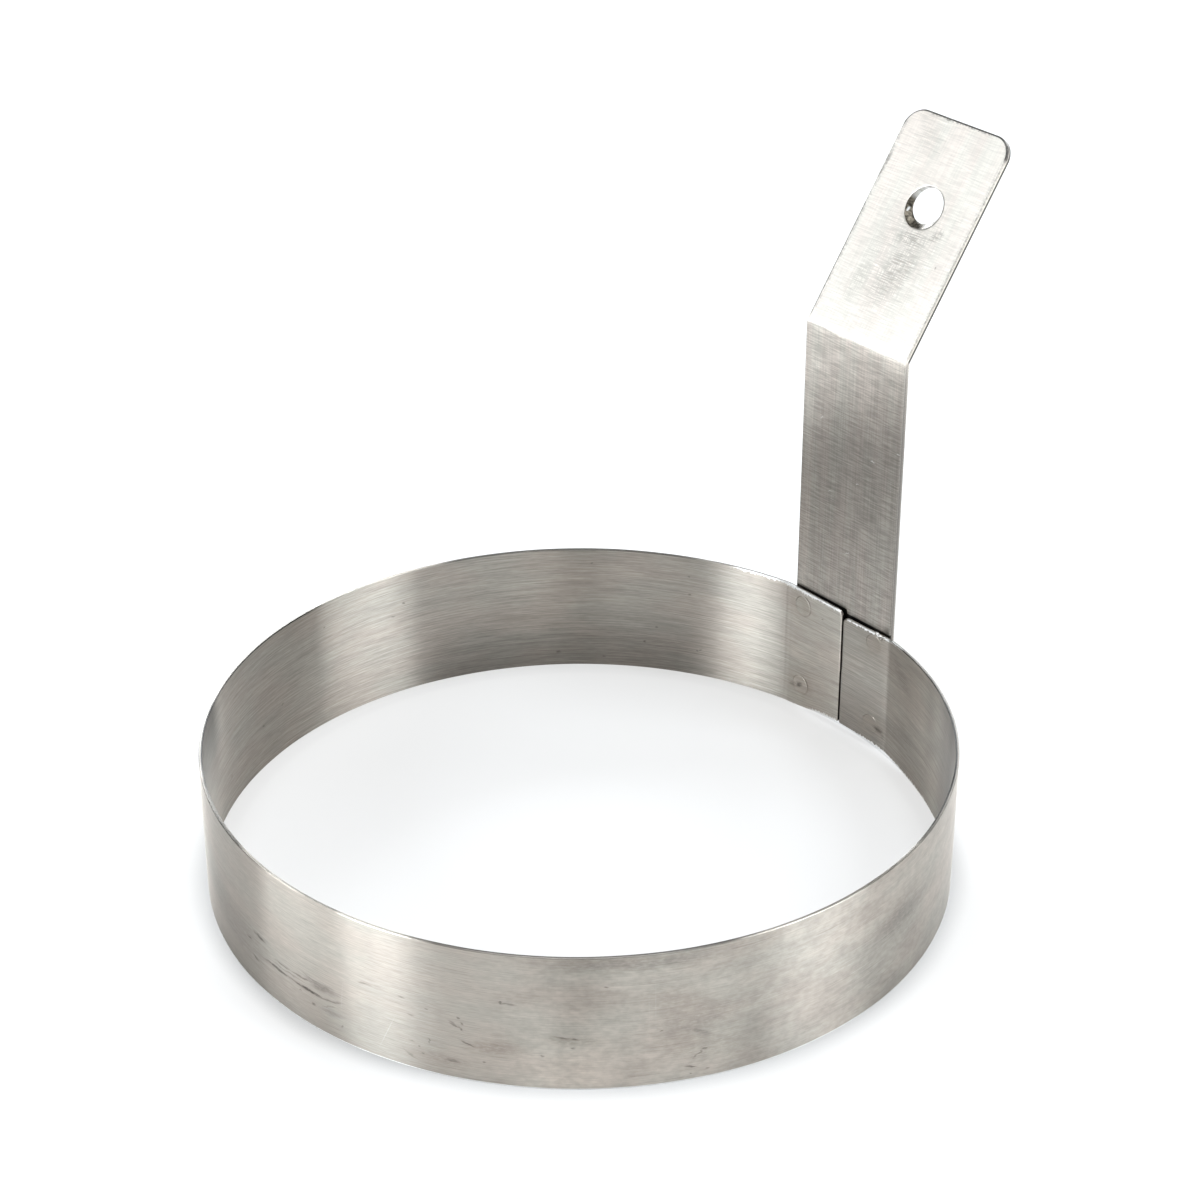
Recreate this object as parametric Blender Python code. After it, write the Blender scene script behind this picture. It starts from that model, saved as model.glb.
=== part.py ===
"""Egg ring: a thin steel band rolled into an open ring, and a bent steel strap for its handle.

The band's two ends butt at a seam. They are pressed flat against the strap, which stands outside
the seam and is spot-welded to both of them. The ring stands on Z = 0 with its handle at +Y.
Left and right are as seen from inside the ring, looking at the handle: left is -X.
"""

import math

import bmesh
import bpy
from mathutils import Vector

# Band
RING_DIAMETER = 0.1016
BAND_HEIGHT = 0.0199
BAND_THICKNESS = 0.00048
SEAM_GAP = 0.0003
SEAM_SHIFT = 0.0009
SEAM_CORNER_RADIUS = 0.001
SEAT_MARGIN = 0.0003
SEAT_SHOULDER_RADIUS = 0.005

# Strap
STRAP_WIDTH = 0.0188
STRAP_THICKNESS = 0.00095
STRAP_FOOT_HEIGHT = 0.001
STRAP_FOOT_CORNER_RADIUS = 0.001
BEND_HEIGHT = 0.062
BEND_ANGLE = math.radians(35.6)
BEND_RADIUS = 0.0008
TAB_LENGTH = 0.033
TAB_CORNER_RADIUS = 0.003
HOLE_DIAMETER = 0.0061
HOLE_FROM_TIP = 0.0127
HOLE_SHIFT = 0.00045

# Spot welds
WELD_DIAMETER = 0.0023
WELD_EDGE_INSET = 0.0022
WELD_RIM_INSET = 0.0025
WELD_FOOT_INSET = 0.004
WELD_SINK = 0.00004
WELD_CHAMFER = 0.0001

# Clearance between pieces that touch
FIT_GAP = 0.0003

# Facets
RING_FACETS = 144
SHOULDER_FACETS = 4
CORNER_FACETS = 6
BEND_FACETS = 6
HOLE_FACETS = 48
WELD_FACETS = 32

# Sizes that follow from those above
RING_RADIUS = RING_DIAMETER / 2
SEAT_HALF_WIDTH = STRAP_WIDTH / 2 + SEAT_MARGIN
SHOULDER_CENTRE_Y = math.sqrt((RING_RADIUS - SEAT_SHOULDER_RADIUS) ** 2 - SEAT_HALF_WIDTH ** 2)
SEAT_Y = SHOULDER_CENTRE_Y + SEAT_SHOULDER_RADIUS
STRAP_FACE_Y = SEAT_Y + FIT_GAP
CONVEX_BEND_RADIUS = BEND_RADIUS + STRAP_THICKNESS
BEND_SETBACK = CONVEX_BEND_RADIUS * math.tan(BEND_ANGLE / 2)
HOLE_FROM_BEND = TAB_LENGTH - HOLE_FROM_TIP

# The strap's developed directions above the bend: along the tab, and out of its back face
TAB_ALONG = Vector((0, math.sin(BEND_ANGLE), math.cos(BEND_ANGLE)))
TAB_OUT = Vector((0, math.cos(BEND_ANGLE), -math.sin(BEND_ANGLE)))
BEND_CORNER = Vector((0, STRAP_FACE_Y, BEND_HEIGHT))
TIP_BACK_Y = (BEND_CORNER + TAB_ALONG * TAB_LENGTH + TAB_OUT * STRAP_THICKNESS).y

# The ring's axis stands this far in front of the middle of the object's footprint
RING_AXIS_Y = (RING_RADIUS - TIP_BACK_Y) / 2

X_AXIS = Vector((1, 0, 0))
Y_AXIS = Vector((0, 1, 0))
Z_AXIS = Vector((0, 0, 1))


def clear_scene():
    for thing in list(bpy.data.objects):
        bpy.data.objects.remove(thing, do_unlink=True)


def steel(name, colour, roughness):
    """A Principled steel of one colour and roughness."""
    material = bpy.data.materials.new(name)
    material.use_nodes = True
    shader = material.node_tree.nodes["Principled BSDF"]
    shader.inputs["Base Color"].default_value = (*colour, 1)
    shader.inputs["Metallic"].default_value = 1
    shader.inputs["Roughness"].default_value = roughness
    material.diffuse_color = (*colour, 1)
    return material


def add_object(name, mesh, material, parent):
    """Turn a bmesh into a named object with its material, under the ring's axis."""
    bmesh.ops.recalc_face_normals(mesh, faces=mesh.faces)
    data = bpy.data.meshes.new(name)
    mesh.to_mesh(data)
    mesh.free()
    if material:
        data.materials.append(material)
    thing = bpy.data.objects.new(name, data)
    thing.parent = parent
    bpy.context.scene.collection.objects.link(thing)
    return thing


def close_tube(mesh, rings):
    """Join rings of vertices into a tube and cap both ends."""
    for first, second in zip(rings, rings[1:]):
        for k in range(len(first)):
            j = (k + 1) % len(first)
            mesh.faces.new((first[k], first[j], second[j], second[k]))
    mesh.faces.new(reversed(rings[0]))
    mesh.faces.new(rings[-1])


def strip(name, stations, across, thickness, material, parent):
    """A strip of sheet metal along a path.

    Each station is a point on the strip's inner face, the direction out of its back face, and how
    far the strip reaches from that point along the across direction, low and high.
    """
    mesh = bmesh.new()
    rings = []
    for point, outward, low, high in stations:
        back = point + outward * thickness
        corners = (point + across * low, point + across * high, back + across * high, back + across * low)
        rings.append([mesh.verts.new(corner) for corner in corners])
    close_tube(mesh, rings)
    return add_object(name, mesh, material, parent)


def rounded_end(radius):
    """Distances from a strip's end, and how far its edge draws in there, round a corner."""
    turns = [math.pi / 2 * k / CORNER_FACETS for k in range(CORNER_FACETS + 1)]
    return [(radius * (1 - math.cos(turn)), radius * (1 - math.sin(turn))) for turn in turns]


def band_half(side):
    """Stations of the band from its seam to the front of the ring, on the side +1 or -1."""
    stations = []
    seam_end = SEAM_SHIFT + side * SEAM_GAP / 2
    for distance, drawn_in in rounded_end(SEAM_CORNER_RADIUS):
        stations.append((Vector((seam_end + side * distance, SEAT_Y, 0)), Y_AXIS, 0, BAND_HEIGHT - drawn_in))
    shoulder_end = math.atan2(SHOULDER_CENTRE_Y, SEAT_HALF_WIDTH)
    for k in range(SHOULDER_FACETS + 1):
        turn = math.pi / 2 + (shoulder_end - math.pi / 2) * k / SHOULDER_FACETS
        outward = Vector((side * math.cos(turn), math.sin(turn), 0))
        centre = Vector((side * SEAT_HALF_WIDTH, SHOULDER_CENTRE_Y, 0))
        stations.append((centre + outward * SEAT_SHOULDER_RADIUS, outward, 0, BAND_HEIGHT))
    sweep = shoulder_end + math.pi / 2
    steps = round(RING_FACETS * sweep / (2 * math.pi))
    for k in range(1, steps + 1):
        turn = shoulder_end - sweep * k / steps
        outward = Vector((side * math.cos(turn), math.sin(turn), 0))
        stations.append((outward * RING_RADIUS, outward, 0, BAND_HEIGHT))
    return stations


def make_band(material, parent):
    """The band: from its right end at the seam, round the front, to its left end."""
    outside = band_half(1) + list(reversed(band_half(-1)[:-1]))
    stations = [(point - outward * BAND_THICKNESS, outward, low, high) for point, outward, low, high in outside]
    return strip("ring_band", stations, Z_AXIS, BAND_THICKNESS, material, parent)


def strap_stations():
    """Stations of the strap from its foot, round the bend, to the tip of its tab."""
    half = STRAP_WIDTH / 2
    stations = []
    for distance, drawn_in in rounded_end(STRAP_FOOT_CORNER_RADIUS):
        point = Vector((0, STRAP_FACE_Y, STRAP_FOOT_HEIGHT + distance))
        stations.append((point, Y_AXIS, drawn_in - half, half - drawn_in))
    centre = Vector((0, STRAP_FACE_Y + CONVEX_BEND_RADIUS, BEND_HEIGHT - BEND_SETBACK))
    for k in range(BEND_FACETS + 1):
        turn = BEND_ANGLE * k / BEND_FACETS
        outward = Vector((0, math.cos(turn), -math.sin(turn)))
        stations.append((centre - outward * CONVEX_BEND_RADIUS, outward, -half, half))
    for distance, drawn_in in reversed(rounded_end(TAB_CORNER_RADIUS)):
        point = BEND_CORNER + TAB_ALONG * (TAB_LENGTH - distance)
        stations.append((point, TAB_OUT, drawn_in - half, half - drawn_in))
    return stations


def turned(name, centre, axis, profile, facets, material, parent):
    """A solid of revolution: the profile lists (distance along the axis, radius)."""
    mesh = bmesh.new()
    upward = X_AXIS.cross(axis)
    rings = []
    for distance, radius in profile:
        ring = []
        for k in range(facets):
            turn = 2 * math.pi * k / facets
            around = X_AXIS * math.cos(turn) + upward * math.sin(turn)
            ring.append(mesh.verts.new(centre + axis * distance + around * radius))
        rings.append(ring)
    close_tube(mesh, rings)
    return add_object(name, mesh, material, parent)


def cut(thing, cutter):
    """Subtract a hidden cutter from an object."""
    cutter.hide_render = True
    cutter.display_type = "WIRE"
    boolean = thing.modifiers.new(cutter.name, "BOOLEAN")
    boolean.operation = "DIFFERENCE"
    boolean.solver = "EXACT"
    boolean.object = cutter


def weld_places():
    """Name of each spot weld, with its place across the strap and its height."""
    reach = STRAP_WIDTH / 2 - WELD_EDGE_INSET
    rows = (("upper", BAND_HEIGHT - WELD_RIM_INSET), ("lower", WELD_FOOT_INSET))
    columns = (("left", -reach), ("right", reach))
    return [(f"{row}_{column}", x, z) for row, z in rows for column, x in columns]


def make_welds(band, strap, material, parent):
    """Weld nuggets through the band and the strap, each in a hole that clears it."""
    front = SEAT_Y - BAND_THICKNESS
    back = STRAP_FACE_Y + STRAP_THICKNESS
    radius = WELD_DIAMETER / 2
    nugget = (
        (front + WELD_SINK, radius - WELD_CHAMFER),
        (front + WELD_SINK + WELD_CHAMFER, radius),
        (back - WELD_SINK - WELD_CHAMFER, radius),
        (back - WELD_SINK, radius - WELD_CHAMFER),
    )
    clearance = ((front - FIT_GAP, radius + FIT_GAP), (back + FIT_GAP, radius + FIT_GAP))
    for name, x, z in weld_places():
        place = Vector((x, 0, z))
        turned(f"spot_weld_{name}", place, Y_AXIS, nugget, WELD_FACETS, material, parent)
        cutter = turned(f"weld_clearance_{name}", place, Y_AXIS, clearance, WELD_FACETS, None, parent)
        cut(band, cutter)
        cut(strap, cutter)


def make_hanging_hole(strap, parent):
    """The hole near the tip, square to the tab."""
    centre = BEND_CORNER + TAB_ALONG * HOLE_FROM_BEND + X_AXIS * HOLE_SHIFT
    run = ((-FIT_GAP, HOLE_DIAMETER / 2), (STRAP_THICKNESS + FIT_GAP, HOLE_DIAMETER / 2))
    cut(strap, turned("hanging_hole", centre, TAB_OUT, run, HOLE_FACETS, None, parent))


def shade(thing):
    """Smooth the round faces and keep the cut edges crisp."""
    thing.data.shade_smooth()
    thing.data.set_sharp_from_angle(angle=math.radians(30))


def main():
    clear_scene()
    axis = bpy.data.objects.new("ring_axis", None)
    axis.location = (0, RING_AXIS_Y, 0)
    bpy.context.scene.collection.objects.link(axis)
    band = make_band(steel("band_steel", (0.62, 0.60, 0.57), 0.32), axis)
    strap = strip(
        "handle_strap", strap_stations(), X_AXIS, STRAP_THICKNESS,
        steel("strap_steel", (0.66, 0.64, 0.61), 0.30), axis,
    )
    make_welds(band, strap, steel("weld_steel", (0.46, 0.43, 0.40), 0.45), axis)
    make_hanging_hole(strap, axis)
    for thing in axis.children:
        shade(thing)
    bpy.context.view_layer.update()


main()
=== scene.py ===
"""Looks of the egg ring: finer sheet-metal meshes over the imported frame, brushed steel, studio and camera.

Lengths are metres, in the frame's own axes: the ring stands on Z = 0 and its handle is at +Y.
Both sheets are made the way the real ones are: as a flat blank with rounded corners and deburred
edges, which is then rolled or bent. A blank's own coordinates are its length (u), its width (v) and
the depth (w) below the face that looks at the ring's axis.
"""

import math

import bpy
import numpy as np
from mathutils import Matrix, Vector


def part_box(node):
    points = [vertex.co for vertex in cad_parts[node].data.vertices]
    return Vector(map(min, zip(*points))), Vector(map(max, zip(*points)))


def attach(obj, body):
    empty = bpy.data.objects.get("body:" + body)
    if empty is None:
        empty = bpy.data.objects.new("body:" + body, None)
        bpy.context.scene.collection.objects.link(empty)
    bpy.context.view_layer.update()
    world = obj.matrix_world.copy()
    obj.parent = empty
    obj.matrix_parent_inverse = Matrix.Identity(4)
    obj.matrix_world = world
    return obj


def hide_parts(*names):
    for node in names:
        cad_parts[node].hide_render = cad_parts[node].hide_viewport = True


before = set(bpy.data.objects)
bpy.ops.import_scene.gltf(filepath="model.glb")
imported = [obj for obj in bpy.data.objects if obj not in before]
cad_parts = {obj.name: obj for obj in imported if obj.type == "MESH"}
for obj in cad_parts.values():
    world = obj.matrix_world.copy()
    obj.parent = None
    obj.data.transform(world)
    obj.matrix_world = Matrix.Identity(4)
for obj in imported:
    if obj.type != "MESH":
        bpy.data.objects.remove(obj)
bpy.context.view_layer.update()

BAND_LOW, BAND_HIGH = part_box("ring_band")
STRAP_LOW, STRAP_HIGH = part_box("handle_strap")
MM = 0.001

# Band
RING_RADIUS = (BAND_HIGH.x - BAND_LOW.x) / 2
RING_CENTRE_Y = BAND_LOW.y + RING_RADIUS
BAND_HEIGHT = BAND_HIGH.z
BAND_THICKNESS = 0.00048
BAND_EDGE_RADIUS = 0.0001
BAND_LOOPS = (0, 0.00003, 0.000065, 0.0001, 0.00018, 0.00032, 0.0005, 0.00075, 0.001)
BAND_WAVE = 0.00005
SHOULDER_RADIUS = 0.005
SHOULDER_MARGIN = 0.0003

# Seam of the band: its place, its corners, and how its ends stand off the strap, the floor and the rim
SEAM_GAP = 0.00026
SEAM_SHIFT = 0.0009
SEAM_TOP_RADIUS = 0.001
SEAM_FOOT_RADIUS = 0.00025
SEAM_DROP = 0.0007
SEAM_DROP_REACH = 0.034
SEAM_LIFT = 0.00122
SEAM_LIFT_REACH_LEFT = 0.012
SEAM_LIFT_REACH_RIGHT = 0.019
SEAM_LEAN_LEFT = 0.00005
SEAM_LEAN_RIGHT = 0.00015
SEAM_LEAN_REACH = 0.012
GROUND_EDGE_REACH = 0.012
GROUND_EDGE_RADIUS = 0.00014
GROUND_EDGE_ROUGHNESS = 0.4

# Strap
STRAP_WIDTH = STRAP_HIGH.x - STRAP_LOW.x
STRAP_FACE_Y = STRAP_LOW.y
STRAP_FOOT_Z = STRAP_LOW.z
STRAP_THICKNESS = 0.00095
STRAP_EDGE_RADIUS = 0.00012
STRAP_LOOPS = (0, 0.000036, 0.000078, 0.00012, *(0.0002 + 0.00028 * k for k in range(11)))
STRAP_FOOT_RADIUS = 0.001
BEND_HEIGHT = 0.062
BEND_ANGLE = math.radians(35.6)
BEND_RADIUS = 0.0008
BEND_STEPS = 14
TAB_LENGTH = 0.033
TAB_CORNER_RADIUS = 0.003

# Hanging hole: its front edge, and the smaller opening that the punch left in the back face
HOLE_RADIUS = 0.00306
HOLE_FROM_TIP = 0.01266
HOLE_SHIFT = 0.00048
HOLE_BACK_RADIUS = 0.00262
HOLE_BACK_SHIFT = 0.0006
HOLE_EDGE_RADIUS = 0.0001
HOLE_EDGE_STEPS = 3
HOLE_ROUGHNESS = 0.006
HOLE_PATCH = 0.0042
HOLE_PATCH_STEPS = 24

# Loops of points between the patch's outline and the hole's edge, and down the hole, as shares of the way
HOLE_FACE_SHARES = (0.3, 0.6, 0.85)
HOLE_LINING_SHARES = (0.2, 0.4, 0.6, 0.8)

# Spot welds
WELD_NECK_RADIUS = 0.00115
WELD_CAP_RADIUS = 0.00148
WELD_CAP_PROUD = 0.000003
WELD_CAP_RINGS = 14
WELD_CAP_FLATNESS = 6
WELD_SIDES = 48
WELD_ACROSS = 0.0072
WELD_HEIGHTS = {"upper": 0.0174, "lower": 0.004}
DIMPLE_RADIUS = 0.0016
DIMPLE_REACH = 0.002
BAND_DIMPLE_DEPTH = 0.00003
STRAP_DIMPLE_DEPTH = 0.00008

# Ridge round a dent: its width as a share of the dent's radius, its height as a share of the dent's depth
DIMPLE_RIDGE_WIDTH = 0.15
DIMPLE_RIDGE_HEIGHT = 0.3

# Beads of metal that the upper right weld threw onto the rim: across, height, proud of the face, and size
BEAD_STEPS = 8
BEAD_BULGE = 0.7
SPATTER = (
    (0.0078, 0.0195, 0.00008, 0.0004, 0.00018),
    (0.0084, 0.01935, 0.0001, 0.00045, 0.0002),
    (0.0085, 0.0188, 0.00004, 0.00028, 0.0002),
    (0.0091, 0.01905, 0.00005, 0.0003, 0.00016),
)

# Steps of the meshes' grids
FINE = 0.0002
PLAIN = 0.0007

# How far apart the two faces of a sheet lie in the patterns, in millimetres, and one pattern from the next
FACE_STEP = 7
SEED_STEP = 17

# Camera, as fitted to the photograph: its place is given from the middle of the ring's footprint
CAMERA_DISTANCE = 0.417475
CAMERA_ELEVATION = math.radians(34.749)
CAMERA_AZIMUTH = math.radians(49.2)
CAMERA_YAW = math.radians(-0.403)
CAMERA_PITCH = math.radians(4.786)
CAMERA_ROLL = math.radians(0.232)
IMAGE_WIDTH = 1200
FOCAL_PIXELS = 3025.6
SENSOR_WIDTH = 36
CAMERA_CLIP = (0.01, 100)

# Softboxes: azimuth and elevation in degrees, width and height in metres, and brightness, where white is 1.
# Azimuths run anticlockwise from above, and the camera stands at 270.
SOFTBOX_DISTANCE = 1.5
SOFTBOXES = {
    "key": (215, 20, 0.46, 0.7, 18.7),
    "side": (185, 20, 0.46, 0.7, 5.1),
    "tab_light": (172, 30, 0.3, 0.6, 2),
    "front_left": (250, 8, 0.7, 0.5, 2.8),
    "front": (295, 8, 1, 0.5, 3.4),
    "fill": (340, 20, 0.7, 0.7, 9.5),
    "fill_high": (340, 50, 0.35, 0.5, 16.3),
    "right": (15, 8, 1, 0.5, 2.7),
    "back_right": (65, 20, 1, 0.7, 8.7),
    "back": (110, 20, 0.73, 0.7, 23),
    "top": (270, 85, 0.9, 0.9, 6.6),
}
SOFTBOX_COLOUR = (0.9, 0.952, 1)
CAMERA_SIDE = 270
WORLD_COLOUR = (1, 0.97, 0.925)
WORLD_GREY = 0.07
FLOOR_RADIUS = 6
FLOOR_SIDES = 96
FLOOR_DEPTH = 0.00002
FLOOR_TONE = 0.35
FLOOR_ROUGHNESS = 0.9
FLOOR_GLOW = 0.44
FLOOR_GLOW_COLOUR = (1, 0.972, 0.94)
# Painted contact shadow in the floor's glow: how far it reaches, its samples, and how little of it shows
# inside the ring
FLOOR_CONTACT = 0.003
FLOOR_CONTACT_SAMPLES = 8
FLOOR_CONTACT_INSIDE = 0.05

# Steel colours; the band's inner face is coloured darker than its outer one, as painted shade
BAND_OUTER = (0.39, 0.36, 0.325)
BAND_INNER_SHADED = (0.33, 0.305, 0.275)
STRAP_STEEL = (0.4, 0.375, 0.345)
WELD_STEEL = (0.325, 0.3, 0.27)
BAND_CASTS = ((1.015, 0.99, 0.97), (0.985, 1, 0.985))
STRAP_CASTS = ((1.015, 0.99, 0.98), (0.985, 1, 0.985))
# Painted shade in the hanging hole's lining
HOLE_LINING_SHADE = (0.085, 0.074, 0.058)
# Colour of the painted highlight along the band's outer foot
FOOT_HIGHLIGHT_COLOUR = (0.95, 0.95, 0.93)
HATCH = (0.3, 0.28, 0.25)
GRIME = (0.08, 0.07, 0.06)
STAIN = (0.24, 0.2, 0.165)
BRIGHT = (0.72, 0.71, 0.69)
STRAW = (0.28, 0.245, 0.195)
SCORCH = (0.12, 0.1, 0.088)

# Gloss: roughness, how much the scratches stretch highlights, and how far that is turned from the map
BAND_GLOSS = (0.42, 0.95, 0.25)
STRAP_GLOSS = (0.4, 0.3, 0)
WELD_GLOSS = (0.45, 0.8, 0.25)

# How far scratches change the roughness, how much grime adds to it, and how far scratches stand out
GLOSS_SPREAD = 0.03
GRIME_DULLNESS = 0.25
BUMP_STRENGTH = 0.2
BUMP_DEPTH = 0.00002

# The stretch of a noise pattern over which scratches go from their darkest to their lightest tone
SCRATCH_RANGE = (0.34, 0.66)

# Layers of scratches: patterns to a millimetre along and across them, detail, darkest and lightest tone
BAND_SCRATCHES = (
    (0.22, 6.5, 2, 0.93, 1.07),
    (0.7, 10, 1, 0.94, 1.06),
    (0.03, 2.2, 2, 0.98, 1.02),
    (0.03, 0.35, 2, 0.98, 1.02),
)
INNER_SCRATCHES = ((0.13, 4.5, 2, 0.9, 1.1), (0.08, 1.3, 2, 0.96, 1.04))
STRAP_SCRATCHES = (
    (0.28, 4.6, 1, 0.86, 1.14),
    (0.6, 8, 1, 0.93, 1.07),
    (0.1, 0.5, 2, 0.97, 1.03),
)
STRAP_CROSS_SCRATCHES = ((0.12, 4, 2, 0.93, 1.07), (0.04, 0.9, 2, 0.97, 1.03))
TAB_SCRATCH_SHARE = 0.45

# Where the band's front is more mottled than scratched: stretch, softness, and share of scratches left; and
# the mottles, as layers of scratches
MOTTLED = (20, 126, 8, 0.6)
BAND_MOTTLES = ((0.18, 0.4, 5, 0.92, 1.07), (0.9, 1.4, 3, 0.94, 1.06))

# Drifts of colour: patterns to a millimetre along a blank, across it and between its faces
BAND_DRIFT = (0.09, 0.16, 1)
STRAP_DRIFT = (0.05, 0.45, 1)

# Lone scratches: patterns to a millimetre along and across them, how rare they are, and their tone
BAND_LONE = ((0.07, 5, 0.66, 1.14), (0.09, 4.5, 0.66, 0.85))
STRAP_LONE = ((0.35, 4.5, 0.69, 1.2), (0.3, 5, 0.68, 0.86))
LONE_FADE = 0.07

# Faces of a sheet in the patterns, with a hole's lining, how far each reaches, and how soft its end is
OUTSIDE = FACE_STEP
INSIDE = 0
LINED = -FACE_STEP
FACE_REACH = 3
FACE_FADE = 0.5

# Stretches between the faces: where the outer one sets in, where the near one ends for the gap's painted
# shadow and for wear and the painted foot highlight, and where the lining's painted shade ends; and with a
# softness, the narrow sides, and the near face for its lines
OUTER_SETS_IN = (2, 5)
GAP_ENDS = (1, 3)
WEAR_AND_HIGHLIGHT_ENDS = (1, 4)
LINING_ENDS = (-5.5, -1.5)
NARROW_SIDES = (1.5, 5.5, 0.6)
NEAR_LINES = (-1, 3, 0.8)


def on(face, *places):
    """Put a list's places on a face."""
    return [(face, *place) for place in places]


# Painted highlights and shade: these zones make stretches of the band's faces lighter or darker
# Zones of the band, by face: start, end, softness, height of the tone's rise, and the tones below and above
BAND_LIGHT_ZONES = on(
    OUTSIDE,
    (-10, 330, 1, 20, 0.88, 1.08),
    (95, 133, 3, 20, 1.3, 1.05),
    (111, 121, 2.5, 14, 1.3, 1.02),
    (143.5, 161, 2, 20, 1.12, 1.3),
) + on(
    INSIDE,
    (250, 293, 4, 13, 0.6, 1.06),
    (232, 249, 1.5, 20, 1.08, 1.2),
    (296.4, 303, 1.2, 20, 1.08, 1.06),
    (307.1, 308.3, 0.3, 20, 1.12, 1.12),
    (308.3, 330, 0.8, 10, 1.15, 1.25),
    (-10, 9, 1.8, 12, 0.65, 0.95),
    (9, 21, 1.6, 12, 0.95, 1.22),
    (27.5, 60, 3, 20, 0.55, 0.5),
    (32, 60, 2, 20, 0.7, 0.5),
    (180, 203, 2.5, 20, 1.15, 0.35),
)

# Painted highlights and shade along the band's rim: from face, to face, start and end along it, softness and
# tone
BAND_RIM_LIGHT = (
    (-3, 10, 8, 52, 3, 0.3),
    (-3, 10, 52, 63, 1.5, 0.5),
    (-3, 10, 76, 92, 2, 1.2),
    (-3, 10, 95, 134, 1.5, 0.55),
    (-3, 10, 136.5, 146.5, 1, 2),
    (-3, 10, 153, 160, 1, 1.4),
    (-3, 10, 166, 184, 1.5, 0.33),
    (-3, 10, 184, 203, 1.5, 0.4),
    (-3, 10, 203, 230, 1.5, 0.55),
    (-3, 10, 254, 292, 3, 0.35),
    (-3, 1.5, 20, 55, 2, 0.3),
    (-3, 1.5, 186, 232, 2, 0.3),
    (5, 10, 186, 252, 2, 0.4),
    (5, 10, 295, 330, 1, 0.2),
)

# How wide the rim is for them, and how softly it sets in
RIM_WIDTH = 0.1
RIM_FADE = 0.04

# How far a mark reaches past its size, and the share of that way over which it fades
MARK_REACH = 1.25
MARK_FADE = 0.84

# How marks wander: patterns to a millimetre, and how far these move a mark
WARP_SCALE = (0.5, 1.3, 1)
WARP_REACH = (1.6, 0.8, 0)

# How far a fine pattern breaks marks up
GRIME_BREAKUP = 0.5
STAIN_BREAKUP = 0.8
SHADE_BREAKUP = 0.6
SCRATCH_BREAKUP = 0.4
SPOT_BREAKUP = 0.2

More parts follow.
